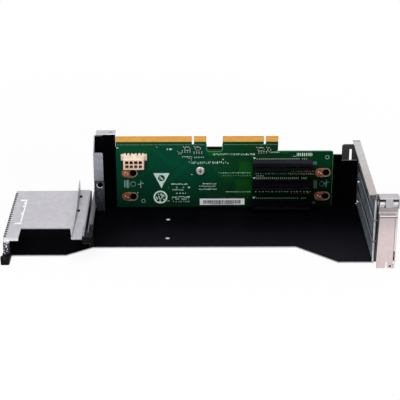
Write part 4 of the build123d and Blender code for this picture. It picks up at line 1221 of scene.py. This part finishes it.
@dataclass
class RiserBoard:
    """The board: mask, traces, vias, print, contacts, pads, label and chips on its front face."""

    slots: tuple[str, ...] = ("card_slot_1", "card_slot_2", "card_slot_3")
    edges: tuple[str, ...] = ("edge_contacts_x16", "edge_contacts_x8")
    ink_depth: float = 0.03
    trace_depth: float = 0.035
    sunk: float = 0.02
    legend: tuple[LegendRow, ...] = (
        LegendRow(0.6, 2.4, 63.9, 0.8, 1.4, 0.4),
        LegendRow(38.0, 39.6, 64.4, 0.5, 0.8, 0.4),
        LegendRow(47.9, 53.0, 62.4, 1.5, 1.1, 0.25),
        LegendRow(91.5, 131.1, 57.1, 1.7, 0.8, 0.9),
        LegendRow(68.7, 106.0, 48.6, 2.3, 0.75, 1.2),
        LegendRow(166.9, 170.0, 54.9, 0.9, 0.9, 0.5),
        LegendRow(170.6, 186.0, 56.7, 3.2, 0.8, 0.75),
        LegendRow(70.8, 72.6, 36.6, 0.7, 0.7, 0.4),
        LegendRow(97.0, 126.5, 38.2, 0.9, 0.8, 1.1),
        LegendRow(104.0, 128.0, 18.6, 0.8, 0.8, 1.2),
        LegendRow(132.0, 184.5, 18.6, 0.7, 0.9, 1.9),
        LegendRow(82.0, 94.6, 27.0, 1.1, 0.8, 0.5),
        LegendRow(78.4, 94.2, 24.3, 1.1, 0.9, 0.6),
        LegendRow(78.3, 95.4, 21.3, 1.2, 0.9, 0.5),
        LegendRow(52.0, 67.5, 26.8, 1.3, 1.0, 0.5),
        LegendRow(49.0, 69.6, 23.3, 1.4, 6.0, 0.3),
        LegendRow(53.0, 63.5, 20.9, 1.2, 0.9, 0.4),
        LegendRow(56.5, 65.5, 17.2, 0.8, 1.0, 1.4),
        LegendRow(52.4, 69.4, 13.4, 1.1, 3.0, 0.3),
        LegendRow(52.6, 68.4, 11.4, 1.1, 2.4, 0.3),
        LegendRow(48.0, 50.4, 9.3, 0.9, 0.9, 0.4),
        LegendRow(53.6, 71.0, 8.6, 1.4, 0.6, 1.5),
        LegendRow(133.0, 140.0, 34.9, 0.6, 0.5, 0.9),
        LegendRow(100.6, 101.8, 52.0, 1.3, 0.8, 0.4),
        LegendRow(19.6, 20.6, 17.9, 0.7, 0.7, 0.4),
        LegendRow(151.8, 154.6, 60.6, 0.9, 0.8, 0.5),
    )
    faint_legend: tuple[LegendRow, ...] = (
        LegendRow(1.0, 84.0, 66.9, 0.35, 9.0, 0.5),
        LegendRow(102.0, 152.0, 66.9, 0.35, 9.0, 0.5),
        LegendRow(7.2, 9.6, 27.2, 7.2, 0.6, 0.5),
        LegendRow(9.9, 11.8, 27.0, 8.2, 1.4, 0.3),
        LegendRow(132.0, 184.0, 37.2, 1.2, 0.7, 1.4),
        LegendRow(101.0, 128.0, 35.4, 0.9, 0.6, 1.6),
        LegendRow(99.0, 126.0, 12.8, 0.9, 0.6, 2.0),
    )
    coppery_legend: tuple[LegendRow, ...] = (
        LegendRow(164.5, 187.0, 36.9, 1.6, 0.8, 1.0),
        LegendRow(172.0, 186.5, 39.6, 1.6, 0.9, 1.3),
        LegendRow(166.0, 183.0, 17.2, 1.2, 0.7, 2.2),
    )
    blue_legend: tuple[LegendRow, ...] = (
        LegendRow(186.0, 189.8, 48.0, 3.4, 1.0, 0.35),
        LegendRow(186.2, 189.0, 6.9, 2.4, 0.9, 0.5),
        LegendRow(166.0, 174.0, 40.6, 4.0, 0.5, 1.4),
        LegendRow(187.5, 190.4, 26.0, 8.0, 0.7, 0.6),
    )
    bundles: tuple[TraceBundle, ...] = (
        TraceBundle(((92.0, 55.2), (78.0, 55.2), (50.0, 27.2), (50.0, 20.0)), 9, (-0.75, 0.0)),
        TraceBundle(((128.5, 50.2), (112.0, 50.2), (104.0, 58.2), (104.0, 66.0)), 8, (0.8, -0.8)),
        TraceBundle(((128.5, 32.6), (99.0, 32.6), (92.0, 39.6), (92.0, 46.0)), 7, (0.7, -0.7)),
        TraceBundle(((128.5, 13.0), (88.0, 13.0), (84.0, 17.0), (74.0, 17.0)), 6, (0.0, 0.65)),
        TraceBundle(((3.0, 62.2), (40.0, 62.2), (52.0, 50.2), (60.0, 50.2)), 10, (0.0, -0.75)),
        TraceBundle(((31.5, 60.0), (31.5, 44.0), (24.0, 36.5), (24.0, 34.0)), 4, (0.9, 0.0), 0.45),
        TraceBundle(((154.0, 52.6), (196.0, 52.6), (203.0, 45.6), (203.0, 20.0)), 3, (-0.8, -0.8)),
        TraceBundle(((186.5, 16.0), (193.0, 22.5), (193.0, 30.0)), 4, (0.7, -0.7)),
    )
    pours: tuple[Area, ...] = (
        (113.0, 128.6, 14.6, 31.4), (116.0, 128.6, 33.6, 49.0), (96.0, 111.5, 33.6, 36.6),
        (86.4, 99.2, 55.0, 60.9), (155.0, 163.0, 58.0, 59.4))
    pour_corner: float = 1.2
    pad_trace_first: float = 0.35
    pad_trace_feet: Pair = (64.2, 65.4)
    pad_trace_width: float = 0.28
    key_gaps: tuple[Pair, ...] = ((71.0, 75.4), (138.5, 141.5))
    via_fields: tuple[tuple[float, float, float, float, int], ...] = (
        (31.0, 60.0, 34.0, 60.0, 26), (86.0, 127.0, 13.0, 47.0, 40))
    via_line_ends: Pair = (155.0, 200.0)
    via_lines: tuple[float, ...] = (15.0, 34.3, 54.0)
    via_line_count: int = 18
    tooling_rings: tuple[tuple[Point, float, float], ...] = (
        ((25.2, 9.4), 2.0, 1.45), ((199.4, 53.9), 2.05, 1.45))
    slot_arrow: tuple[Point, ...] = ((0.2, 2.2), (3.0, 2.2), (1.6, 0.4))
    dot_first: float = 4.2
    dot_rise: float = 0.35
    dot_count: int = 26
    dot_left_out: int = 22
    dot_pitch: float = 1.866
    dot_rows: tuple[tuple[str, float, float], ...] = (
        ("card_slot_3", 0.28, 1.0), ("card_slot_2", 0.24, 2.0), ("card_slot_1", 0.3, 1.2))
    packages: tuple[Area, ...] = (
        (67.3, 63.1, 4.0, 2.2), (77.2, 63.1, 4.0, 2.2), (136.8, 62.3, 5.2, 2.0), (144.4, 62.0, 1.9, 2.8),
        (60.4, 58.3, 1.0, 2.4), (71.4, 51.9, 2.0, 1.0))
    package_front: float = -0.9
    leg_front: float = -0.16
    leg_reach: float = 0.75
    leg_tuck: float = 0.1
    lower_legs: Pair = (1.2, 0.3)
    side_legs: Pair = (1.1, 0.26)
    package_dot: Point = (1.5, 0.7)
    triangle: tuple[Point, ...] = ((35.0, 38.0), (50.3, 38.0), (42.6, 22.4))
    triangle_middle: Point = (42.6, 32.9)
    triangle_spots: tuple[Spot, ...] = (
        (41.4, 33.9, 0.8), (42.9, 32.4, 0.95), (44.0, 31.2, 0.5), (41.0, 31.8, 0.4))
    disc: Point = (41.5, 13.3)
    disc_spot_count: int = 17
    disc_spot_reach: float = 4.3
    disc_spot_sizes: Pair = (0.4, 0.95)
    cross_bars: tuple[Area, ...] = (
        (-0.4, 0.4, -3.8, 3.6), (-2.6, -0.6, -0.5, 0.5), (0.6, 2.6, 0.7, 1.6))
    bar_margins: Pair = (3.2, 3.6)
    bar_heights: Pair = (1.1, -1.5)
    bar_widths: Pair = (0.4, 1.1)
    bar_gaps: Pair = (0.25, 0.6)
    label_line_margins: Pair = (12.0, 10.0)
    label_line_heights: Pair = (0.5, 1.0)
    chip_front: float = -0.6
    chip_end: float = 0.3
    fillet_reach: float = 0.22
    chip_kinds: tuple[ChipKind, ...] = (
        ChipKind("chip_capacitors", "capacitor_chips", "capacitor_body", CAPACITOR_BODY,
                 ((62.6, 60.0), (73.6, 58.8), (134.6, 59.0)), 0.8, 1.6),
        ChipKind("chip_resistors", "resistor_chips", "resistor_body", CHIP_BODY,
                 ((63.4, 54.8), (74.6, 54.2), (145.8, 59.2)), 1.6, 0.8))
    keyhole_columns: tuple[float, ...] = (9.4, 192.6)
    keyhole_rows: tuple[float, ...] = (14.0, 38.3)
    keyhole_entry: float = 6.2
    pad_radius: float = 4.25
    pad_tail: float = -5.0
    glints: tuple[Spot, ...] = ((-1.0, 1.1, 0.85), (1.2, -0.3, 0.8), (-1.7, -0.9, 0.4))
    mask_spans: tuple[Pair, ...] = ((0.1, 71.5), (73.7, 85.1), (100.7, 139.1), (141.3, 152.8))
    mask_lap: float = 0.12
    mask_shoulder: float = 68.4
    mask_foot: float = 69.9
    notch_rim: tuple[Point, ...] = (
        (85.35, 68.0), (85.35, 62.2), (86.0, 60.6), (87.5, 59.9), (98.3, 59.9), (99.8, 60.6),
        (100.45, 62.2), (100.45, 68.0))
    notch_rim_width: float = 0.62
    edge_rim: tuple[Point, ...] = (
        (154.0, 59.85), (202.6, 59.85), (204.2, 59.2), (204.82, 57.8), (204.82, 4.0))
    edge_rim_width: float = 0.3
    # Half sizes of the two bars of painted shade in the screw's cross.
    screw_recess_shade: tuple[Point, ...] = ((0.42, 2.3), (1.7, 0.34))
    screw_ring: Pair = (3.2, 2.75)
    barrel_lining: tuple[Point, ...] = ((3.5, -0.06), (3.38, -0.02), (3.38, 1.58), (3.5, 1.6))
    entry_rim: Pair = (3.82, 3.5)
    pad_rim_width: float = 0.32

    def build(self) -> None:
        """Dresses the board's nodes and adds what lies on its face."""
        dress(("riser_board",), BOARD_MASK)
        dress(self.edges, GOLD)
        dress(("keyhole_pads",), COPPER)
        dress(("board_label",), WHITE_LABEL)
        self.add_traces()
        self.add_vias()
        self.add_legend()
        self.add_marks()
        self.add_label_bars()
        self.add_chips()
        self.add_packages()
        self.add_barrels()
        self.add_pad_rims()
        self.add_mask_edges()
        self.add_screw_recess_shade()

    def ink(self, stock: Stock, *outlines: Sequence[Point]) -> None:
        """Adds a printed shape, with its holes, to a piece of print."""
        stock.plate(outlines, Face.FRONT, -self.ink_depth, self.sunk)

    @staticmethod
    def raised(stock: Stock, middle: Point, half: Point, front: float, back: float, bevel: float) -> None:
        """Adds a block that stands on the board's face.

        Args:
            stock: What it is added to.
            middle: Its middle across and up, in millimetres.
            half: Its half width and half height.
            front: Depth of its front.
            back: Depth of its back.
            bevel: Width of its bevel.
        """
        x, z = middle
        across, up = half
        stock.block((x - across, front, z - up), (x + across, back, z + up), bevel)

    def add_traces(self) -> None:
        """Traces and pours stand a little proud under the mask, and look lighter."""
        depths = (-self.trace_depth, self.sunk)
        traces = Stock("mask_traces")
        for bundle in self.bundles:
            for route in bundle.routes():
                traces.line(route, bundle.width, Face.FRONT, *depths)
        for node in self.edges:
            low, high = corners(node)
            for i in range(int(high.x - low.x)):
                x = low.x + self.pad_trace_first + i
                path = ((x, low.z + 0.2), (x, self.pad_trace_feet[i % 2]))
                if x < high.x and not self.near_key(x):
                    traces.line(path, self.pad_trace_width, Face.FRONT, *depths)
        traces.piece(TRACE_MASK)
        pours = Stock("mask_pours")
        for left, right, bottom, top in self.pours:
            cut = self.pour_corner
            outline = [(left + cut, bottom), (right, bottom), (right, top - cut), (right - cut, top),
                       (left, top), (left, bottom + cut)]
            pours.plate([outline], Face.FRONT, -self.trace_depth * 0.7, self.sunk)
        pours.piece(POUR_MASK)

    def near_key(self, x: float) -> bool:
        """Whether a place along the contacts falls in a key notch or the gap by it."""
        return any(left < x < right for left, right in self.key_gaps)

    def add_vias(self) -> None:
        """Small plated holes where traces end, a few scattered ones, and two tooling holes."""
        chance = random.Random(11)
        spots = [route[-1] for bundle in self.bundles for route in bundle.routes()]
        for left, right, bottom, top, count in self.via_fields:
            spots += [(chance.uniform(left, right), chance.uniform(bottom, top)) for _ in range(count)]
        spots += [(chance.uniform(*self.via_line_ends), chance.choice(self.via_lines))
                  for _ in range(self.via_line_count)]
        vias = Stock("plated_vias")
        eyelet = ((0.34, self.sunk), (0.34, -0.045), (0.18, -0.045), (0.16, -0.01), (0.0, -0.01))
        for spot in spots:
            vias.turned(spot, eyelet, Face.FRONT, 8)
        vias.piece(TRACE_MASK)
        rings = Stock("tooling_rings")
        for centre, outer, inner in self.tooling_rings:
            rings.plate([circle(centre, outer), circle(centre, inner)], Face.FRONT, -0.05, self.sunk)
        rings.piece(FAINT_INK)
        plug = Stock("tooling_hole")
        dark_disc = ((1.15, self.sunk), (1.15, -0.02), (0.9, -0.02), (0.0, -0.01))
        plug.turned(self.tooling_rings[0][0], dark_disc, Face.FRONT, 20)
        plug.piece(SLOT_MOULDING)

    def printed(self, name: str, rows: Sequence[LegendRow], seed: int) -> Stock:
        """Rows of dashes as one piece of print.

        Args:
            name: Name of the piece.
            rows: What is printed.
            seed: Seed of the uneven lengths.

        Returns:
            The shape, so that more can be added before it becomes a piece.
        """
        chance = random.Random(seed)
        made = Stock(name)
        for row in rows:
            for left, right in row.dashes(chance):
                for outline in row.strokes(left, right, chance):
                    self.ink(made, outline)
        return made

    def add_legend(self) -> None:
        """Printed rows in four inks, and an arrow and the solder points over each slot."""
        legend = self.printed("legend_ink", self.legend, 5)
        for node in self.slots:
            low, high = corners(node)
            self.ink(legend, [(low.x + across, high.z + rise) for across, rise in self.slot_arrow])
        legend.piece(WHITE_INK)
        faint = self.printed("faint_print", self.faint_legend, 8)
        faint.piece(FAINT_INK)
        coppery = self.printed("coppery_ink", self.coppery_legend, 6)
        coppery.piece(COPPER_INK)
        bluish = self.printed("blue_ink", self.blue_legend, 7)
        bluish.piece(BLUE_INK)
        self.add_solder_dots()

    def add_solder_dots(self) -> None:
        """A row of solder points above each slot, taller over the middle one."""
        for (node, half, tall), finish in zip(self.dot_rows, (BRIGHT_INK_AND_HIGHLIGHT, DOT_INK, FAINT_INK)):
            dots = Stock(node.replace("card_slot", "solder_dots"))
            low, high = corners(node)
            foot = high.z + self.dot_rise
            for i in range(self.dot_count):
                x = low.x + self.dot_first + self.dot_pitch * i
                if i != self.dot_left_out:
                    dots.block((x - half, self.leg_front, foot), (x + half, self.sunk, foot + tall), 0.12)
            dots.piece(finish)

    def add_marks(self) -> None:
        """A pale triangle and ring with plain spots in them, and a ring and cross near each end."""
        marks = Stock("mark_ink")
        self.ink(marks, self.triangle, circle(self.triangle_middle, 3.3))
        self.ink(marks, circle(self.disc, 6.7, 36), circle(self.disc, 5.1, 36))
        chance = random.Random(21)
        for _ in range(self.disc_spot_count):
            reach = self.disc_spot_reach * math.sqrt(chance.random())
            spot = points_at(self.disc, reach, [chance.uniform(0.0, 2 * math.pi)])[0]
            self.ink(marks, circle(spot, chance.uniform(*self.disc_spot_sizes), 9))
        for x, z, radius in self.triangle_spots:
            self.ink(marks, circle((x, z), radius, 8))
        marks.piece(WHITE_INK)
        self.add_side_mark("left_mark", (15.7, 26.9), (22.9, 26.6), FAINT_INK)
        self.add_side_mark("right_mark", (195.3, 26.6), (199.4, 26.9), BLUE_INK)

    def add_side_mark(self, name: str, ring: Point, cross: Point, finish: Finish) -> None:
        """A ring with a plain upright bar and two short arms beside it.

        Args:
            name: Name of the piece.
            ring: Middle of the ring in millimetres.
            cross: Middle of the bar.
            finish: The ink.
        """
        mark = Stock(name)
        x, z = cross
        self.ink(mark, circle(ring, 2.6), circle(ring, 2.15))
        for left, right, bottom, top in self.cross_bars:
            self.ink(mark, frame_outline(x + left, x + right, z + bottom, z + top))
        mark.piece(finish)

    def add_label_bars(self) -> None:
        """Plain bars of uneven width on the white label, and a broken line under them."""
        low, high = corners("board_label")
        depths = (low.y - self.ink_depth, low.y + self.sunk)
        chance = random.Random(3)
        bars = Stock("label_bars")
        left, right = low.x + self.bar_margins[0], high.x - self.bar_margins[1]
        bottom, top = low.z + self.bar_heights[0], high.z + self.bar_heights[1]
        while left < right:
            width = chance.uniform(*self.bar_widths)
            bars.plate([frame_outline(left, left + width, bottom, top)], Face.FRONT, *depths)
            left += width + chance.uniform(*self.bar_gaps)
        before, after = self.label_line_margins
        bottom, top = (low.z + rise for rise in self.label_line_heights)
        for left, right in LegendRow(low.x + before, high.x - after, 0.0, 0.5, 1.0, 0.6).dashes(chance):
            bars.plate([frame_outline(left, right, bottom, top)], Face.FRONT, *depths)
        bars.piece(BLACK_INK)

    def add_chips(self) -> None:
        """Chips with rounded bodies, plated ends and solder fillets, in place of plain blocks."""
        ends, solder = Stock("chip_ends"), Stock("chip_solder")
        bodies = [Stock(kind.name) for kind in self.chip_kinds]
        end = self.chip_end
        for kind, stock in zip(self.chip_kinds, bodies):
            half_x, half_z = kind.wide / 2, kind.high / 2
            along_x, along_z = (0, 1) if kind.high > kind.wide else (1, 0)
            body = (half_x - along_x * end, half_z - along_z * end)
            cap = (end / 2, half_z) if along_x else (half_x, end / 2)
            fillet = (cap[0] + 0.05, cap[1] + 0.05)
            for x, z in kind.places():
                self.raised(stock, (x, z), body, self.chip_front + 0.03, 0.0, 0.05)
                for side in (-1, 1):
                    way_x, way_z = side * along_x, side * along_z
                    cap_x, cap_z = x + way_x * (half_x - end / 2), z + way_z * (half_z - end / 2)
                    foot = (cap_x + way_x * self.fillet_reach, cap_z + way_z * self.fillet_reach)
                    self.raised(ends, (cap_x, cap_z), cap, self.chip_front, 0.0, 0.06)
                    self.raised(solder, foot, fillet, -0.2, 0.0, 0.1)
        ends.piece(BRIGHT_INK_AND_HIGHLIGHT)
        solder.piece(TIN_AND_HIGHLIGHT, smooth=True)
        for kind, stock in zip(self.chip_kinds, bodies):
            made = stock.piece(kind.finish, smooth=True)
            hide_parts(kind.node)

    def add_packages(self) -> None:
        """Small moulded packages with their legs, and a printed dot beside each."""
        bodies, legs, dots = Stock("small_packages"), Stock("package_legs"), Stock("package_outlines")
        dot = ((0.4, self.sunk), (0.4, -self.ink_depth), (0.0, -self.ink_depth))
        for x, z, wide, high in self.packages:
            half_x, half_z = wide / 2, high / 2
            self.raised(bodies, (x, z), (half_x, half_z), self.package_front, -0.1, 0.12)
            left, above = self.package_dot
            dots.turned((x - half_x - left, z + half_z + above), dot, Face.FRONT, 8)
            pitch, half = self.lower_legs
            for i in range(int(wide / pitch)):
                middle = x - half_x + pitch / 2 + pitch * i
                for side in (-1, 1):
                    low, top = self.leg_ends(z, side, half_z)
                    legs.block((middle - half, self.leg_front, low), (middle + half, 0.0, top), 0.04)
            pitch, half = self.side_legs
            for i in range(int(high / pitch)):
                middle = z - half_z + pitch / 2 + pitch * i
                for side in (-1, 1):
                    low, top = self.leg_ends(x, side, half_x)
                    legs.block((low, self.leg_front, middle - half), (top, 0.0, middle + half), 0.04)
        bodies.piece(CHIP_BODY)
        legs.piece(BRIGHT_INK_AND_HIGHLIGHT)
        dots.piece(WHITE_INK)

    def leg_ends(self, middle: float, side: int, half: float) -> list[float]:
        """Lower and upper end of a leg, from a package's middle and half size."""
        return sorted((middle + side * (half + self.leg_reach), middle + side * (half - self.leg_tuck)))

    def keyholes(self) -> list[Point]:
        """Middle of each keyhole's slot, where its hook sits."""
        return [(x, z) for x in self.keyhole_columns for z in self.keyhole_rows]

    def add_barrels(self) -> None:
        """Copper plating inside the round entry of each keyhole."""
        barrels = Stock("keyhole_barrels")
        for x, z in self.keyholes():
            barrels.turned((x + self.keyhole_entry, z), self.barrel_lining, Face.FRONT, 28)
        barrels.piece(COPPER, smooth=True)

    def add_pad_rims(self) -> None:
        """Pale rim round each keyhole's pad and entry, and painted highlights on each hook."""
        rims, glints = Stock("pad_rims"), Stock("hook_glints")
        for x, z in self.keyholes():
            entry, tail = x + self.keyhole_entry, x + self.keyhole_entry + self.pad_tail
            mouth = [circle((entry, z), radius, 28) for radius in self.entry_rim]
            rims.plate(mouth, Face.FRONT, -0.14, -0.06)
            right_half = arc((entry, z), self.pad_radius, -84.0, 12.0, 15)
            path = [(tail, z - self.pad_radius), *right_half, (tail, z + self.pad_radius)]
            rims.line(path, self.pad_rim_width, Face.FRONT, -0.13, -0.05)
            for dx, dz, radius in self.glints:
                dome = ((radius, -1.25), (radius * 0.8, -1.4), (0.0, -1.42))
                glints.turned((x + dx, z + dz), dome, Face.FRONT, 12)
        rims.piece(PAD_RIM)
        glints.piece(HOOK_GLINT)

    def add_mask_edges(self) -> None:
        """Mask that laps over the feet of the contacts, and the pale cut rim of the board."""
        laps, rims = Stock("mask_laps"), Stock("board_rims")
        back = corners("riser_board")[1].y
        for left, right in self.mask_spans:
            for near, far in ((-self.mask_lap, self.sunk), (back - self.sunk, back + self.mask_lap)):
                laps.block((left, near, self.mask_shoulder), (right, far, self.mask_foot), 0.03)
        laps.piece(LAP_MASK)
        for points, width in ((self.notch_rim, self.notch_rim_width), (self.edge_rim, self.edge_rim_width)):
            rims.line(points, width, Face.FRONT, -self.ink_depth, self.sunk)
        rims.piece(RIM_MASK)

    def add_screw_recess_shade(self) -> None:
        """Painted shade in the cross of the screw's head, and a bright ring round it."""
        low, high = corners("board_screw")
        x, z = (low.x + high.x) / 2, (low.z + high.z) / 2
        cross, ring = Stock("screw_recess_shade"), Stock("screw_ring")
        for across, up in self.screw_recess_shade:
            bar = frame_outline(x - across, x + across, z - up, z + up)
            cross.plate([bar], Face.FRONT, low.y + 0.01, low.y + 0.1)
        round_it = [circle((x, z), radius) for radius in self.screw_ring]
        ring.plate(round_it, Face.FRONT, low.y + 0.005, low.y + 0.1)
        cross.piece(RED_SHADE)
        ring.piece(TIN_AND_HIGHLIGHT)


@dataclass
class CardSlots:
    """The three slots, with ribs between their contacts and solder tails behind the board."""

    slots: tuple[str, ...] = ("card_slot_1", "card_slot_2", "card_slot_3")
    contacts: tuple[str, ...] = ("slot_contacts_1", "slot_contacts_2", "slot_contacts_3")
    segments: tuple[tuple[float, int], ...] = ((0.075, 38), (40.62, 11))
    spring_width: float = 0.5
    spring_thickness: float = 0.2
    spring_row: float = 0.175
    spring_path: tuple[Point, ...] = ((0.0, 0.0), (-5.4, 0.0), (-7.6, 0.3), (-8.6, 0.32), (-9.4, -0.02))
    rib_pitch: float = 1.0
    rib_width: float = 0.34
    rib_proud: float = 0.16
    rib_margin: float = 2.0
    rib_depths: Pair = (0.6, -4.4)
    wall_step: float = 0.75
    tail_first: float = 3.2
    tail_count: int = 50
    tail_rows: Pair = (-2.4, 1.4)
    tail_stagger: float = 1.0
    tail_cone: tuple[Point, ...] = ((0.42, -0.05), (0.4, 0.1), (0.2, 0.55), (0.16, 1.1), (0.0, 1.2))

    def build(self) -> None:
        """Dresses the slots and adds springs, ribs and tails."""
        dress(self.slots, SLOT_MOULDING)
        self.add_springs()
        self.add_ribs()
        self.add_tails()

    def add_springs(self) -> None:
        """Bent contact springs one by one, in place of the plain strips."""
        springs = Stock("slot_springs")
        for node in self.contacts:
            low, high = corners(node)
            rows = ((low.z + self.spring_row, 1), (high.z - self.spring_row, -1))
            for start, count in self.segments:
                for i in range(count):
                    x = low.x + start + i
                    for row, inward in rows:
                        path = [(y, row + inward * rise) for y, rise in self.spring_path]
                        springs.line(path, self.spring_thickness, Face.SIDE, x, x + self.spring_width)
        made = springs.piece(DULL_TIN)
        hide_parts(*self.contacts)

    def add_ribs(self) -> None:
        """Fine ribs on the stepped sides of each slot, one between each two contacts."""
        ribs = Stock("slot_ribs")
        half = self.rib_width / 2
        for node in self.slots:
            low, high = corners(node)
            front, back = low.y + self.rib_depths[0], self.rib_depths[1]
            for i in range(int((high.x - low.x - 2 * self.rib_margin) / self.rib_pitch) + 1):
                x = low.x + self.rib_margin + self.rib_pitch * i
                for edge, turn in ((high.z, 1), (low.z, -1)):
                    inner = edge - turn * self.wall_step
                    near, far = sorted((inner, inner + turn * (self.rib_proud + 0.05)))
                    ribs.block((x - half, front, near), (x + half, back, far), 0.04)
        ribs.piece(SLOT_MOULDING)

    def add_tails(self) -> None:
        """Soldered tails of the slot contacts on the board's back face."""
        tails = Stock("slot_tails")
        back = corners("riser_board")[1].y
        cone = [(radius, back + rise) for radius, rise in self.tail_cone]
        for node in self.slots:
            low, high = corners(node)
            middle = (low.z + high.z) / 2
            for i in range(self.tail_count):
                x = low.x + self.tail_first + i
                for row in self.tail_rows:
                    tails.turned((x, middle + row + (i % 2) * self.tail_stagger), cone, Face.FRONT, 6)
        tails.piece(TIN_AND_HIGHLIGHT, smooth=True)


@dataclass
class PowerHeader:
    """The ivory power header and its pins."""

    ridge_places: tuple[float, ...] = (-8.6, -5.2, -1.8, 1.8, 5.2, 8.6)
    ridge_half: float = 1.0
    ridge_front: float = -2.7
    ridge_heights: Pair = (-2.1, -0.03)
    joint_step: float = 1.7
    joint_half: float = 0.4
    joint_front: float = -2.62
    joint_heights: Pair = (-1.5, -0.6)
    foot: float = -0.1

    def build(self) -> None:
        """Dresses the header and its pins, and adds the ridges on its top block."""
        dress(("power_header",), IVORY_MOULDING)
        dress(("power_pins",), HEADER_PIN_SHADE)
        self.add_ridges()

    def add_ridges(self) -> None:
        """Low ridges on the front of the top block, with dark joints between them."""
        low, high = corners("power_header")
        middle = (low.x + high.x) / 2
        ridges, joints = Stock("header_ridges"), Stock("header_joints")
        for place in self.ridge_places:
            x, half, (bottom, top) = middle + place, self.ridge_half, self.ridge_heights
            ridges.block((x - half, self.ridge_front, high.z + bottom),
                         (x + half, self.foot, high.z + top), 0.15)
        for place in self.ridge_places[:-1]:
            x, half, (bottom, top) = middle + place + self.joint_step, self.joint_half, self.joint_heights
            joints.block((x - half, self.joint_front, high.z + bottom),
                         (x + half, self.foot, high.z + top), 0.08)
        ridges.piece(IVORY_MOULDING)
        joints.piece(RED_SHADE)


# The studio


@dataclass
class SoftLamp:
    """A square soft box."""

    name: str
    place: Place
    aim: Place
    size: float
    power: float

    def build(self) -> None:
        """Hangs the lamp and turns it to its aim."""
        data = bpy.data.lights.new(self.name, "AREA")
        data.energy = self.power
        data.size = self.size
        lamp = bpy.data.objects.new(self.name, data)
        bpy.context.scene.collection.objects.link(lamp)
        lamp.location = self.place
        lamp.rotation_mode = "QUATERNION"
        lamp.rotation_quaternion = (Vector(self.aim) - Vector(self.place)).to_track_quat("-Z", "Y")


@dataclass
class Studio:
    """White floor, soft lamps, white surroundings and the camera at the photograph's angle."""

    world_light: float = 0.5
    floor_size: float = 12.0
    floor_level: float = -0.0002
    camera_place: Place = (0.0708, -1.1884, 0.5348)
    camera_forward: Place = (0.0065, 0.9148, -0.4039)
    camera_right: Place = (1.0, -0.0071, 0.0)
    camera_lens: float = 122.245
    camera_sensor: float = 36.0
    camera_clip: Pair = (0.05, 60.0)
    lamps: tuple[SoftLamp, ...] = field(default_factory=lambda: (
        SoftLamp("key_lamp", (-0.55, -0.85, 1.15), (0.05, -0.05, 0.03), 0.9, 8.0),
        SoftLamp("fill_lamp", (0.95, -0.9, 0.8), (0.1, -0.05, 0.03), 0.9, 4.0),
        SoftLamp("top_lamp", (0.1, 0.3, 1.4), (0.08, -0.03, 0.03), 1.0, 5.0),
    ))

    def build(self) -> None:
        """Sets up everything that isn't the object."""
        self.lay_floor()
        self.light_world()
        for lamp in self.lamps:
            lamp.build()
        self.set_camera()
        bpy.context.scene.view_settings.view_transform = "Standard"

    def lay_floor(self) -> None:
        """A large white floor just under the object."""
        data = bpy.data.meshes.new("studio_floor")
        half = self.floor_size / 2
        outline = [(x, y, self.floor_level) for x, y in frame_outline(-half, half, -half, half)]
        data.from_pydata(outline, [], [(0, 1, 2, 3)])
        floor = bpy.data.objects.new("studio_floor", data)
        bpy.context.scene.collection.objects.link(floor)
        data.materials.append(STUDIO_WHITE.material())

    def light_world(self) -> None:
        """White where the surroundings are seen or mirrored, and softer where they light."""
        world = bpy.data.worlds.new("studio_world")
        world.use_nodes = True
        tree = world.node_tree
        path = tree.nodes.new("ShaderNodeLightPath")
        seen = path.outputs["Is Camera Ray"]
        for name in ("Is Glossy Ray", "Is Transmission Ray"):
            both = tree.nodes.new("ShaderNodeMath")
            both.operation = "MAXIMUM"
            tree.links.new(seen, both.inputs[0])
            tree.links.new(path.outputs[name], both.inputs[1])
            seen = both.outputs["Value"]
        level = tree.nodes.new("ShaderNodeMapRange")
        level.inputs["To Min"].default_value = self.world_light
        level.inputs["To Max"].default_value = 1.0
        tree.links.new(seen, level.inputs["Value"])
        background = tree.nodes["Background"]
        background.inputs["Color"].default_value = (1.0, 1.0, 1.0, 1.0)
        tree.links.new(level.outputs["Result"], background.inputs["Strength"])
        bpy.context.scene.world = world

    def set_camera(self) -> None:
        """The camera, at the photograph's angle and distance."""
        data = bpy.data.cameras.new("studio_camera")
        data.lens = self.camera_lens
        data.sensor_width = self.camera_sensor
        data.clip_start, data.clip_end = self.camera_clip
        camera = bpy.data.objects.new("studio_camera", data)
        bpy.context.scene.collection.objects.link(camera)
        forward = Vector(self.camera_forward).normalized()
        right = Vector(self.camera_right).normalized()
        turn = Matrix((right, right.cross(forward), -forward)).transposed()
        camera.matrix_world = Matrix.Translation(self.camera_place) @ turn.to_4x4()
        bpy.context.scene.camera = camera


def main() -> None:
    """Builds the looks in order and reports each piece."""
    logging.basicConfig(level=logging.INFO, format="%(name)s: %(message)s")
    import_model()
    Studio().build()
    builders: tuple[Callable[[], None], ...] = (
        SheetCage().build, Fasteners().build, Retainer().build, RiserBoard().build,
        CardSlots().build, PowerHeader().build)
    for build in builders:
        build()


if __name__ == "__main__":
    main()
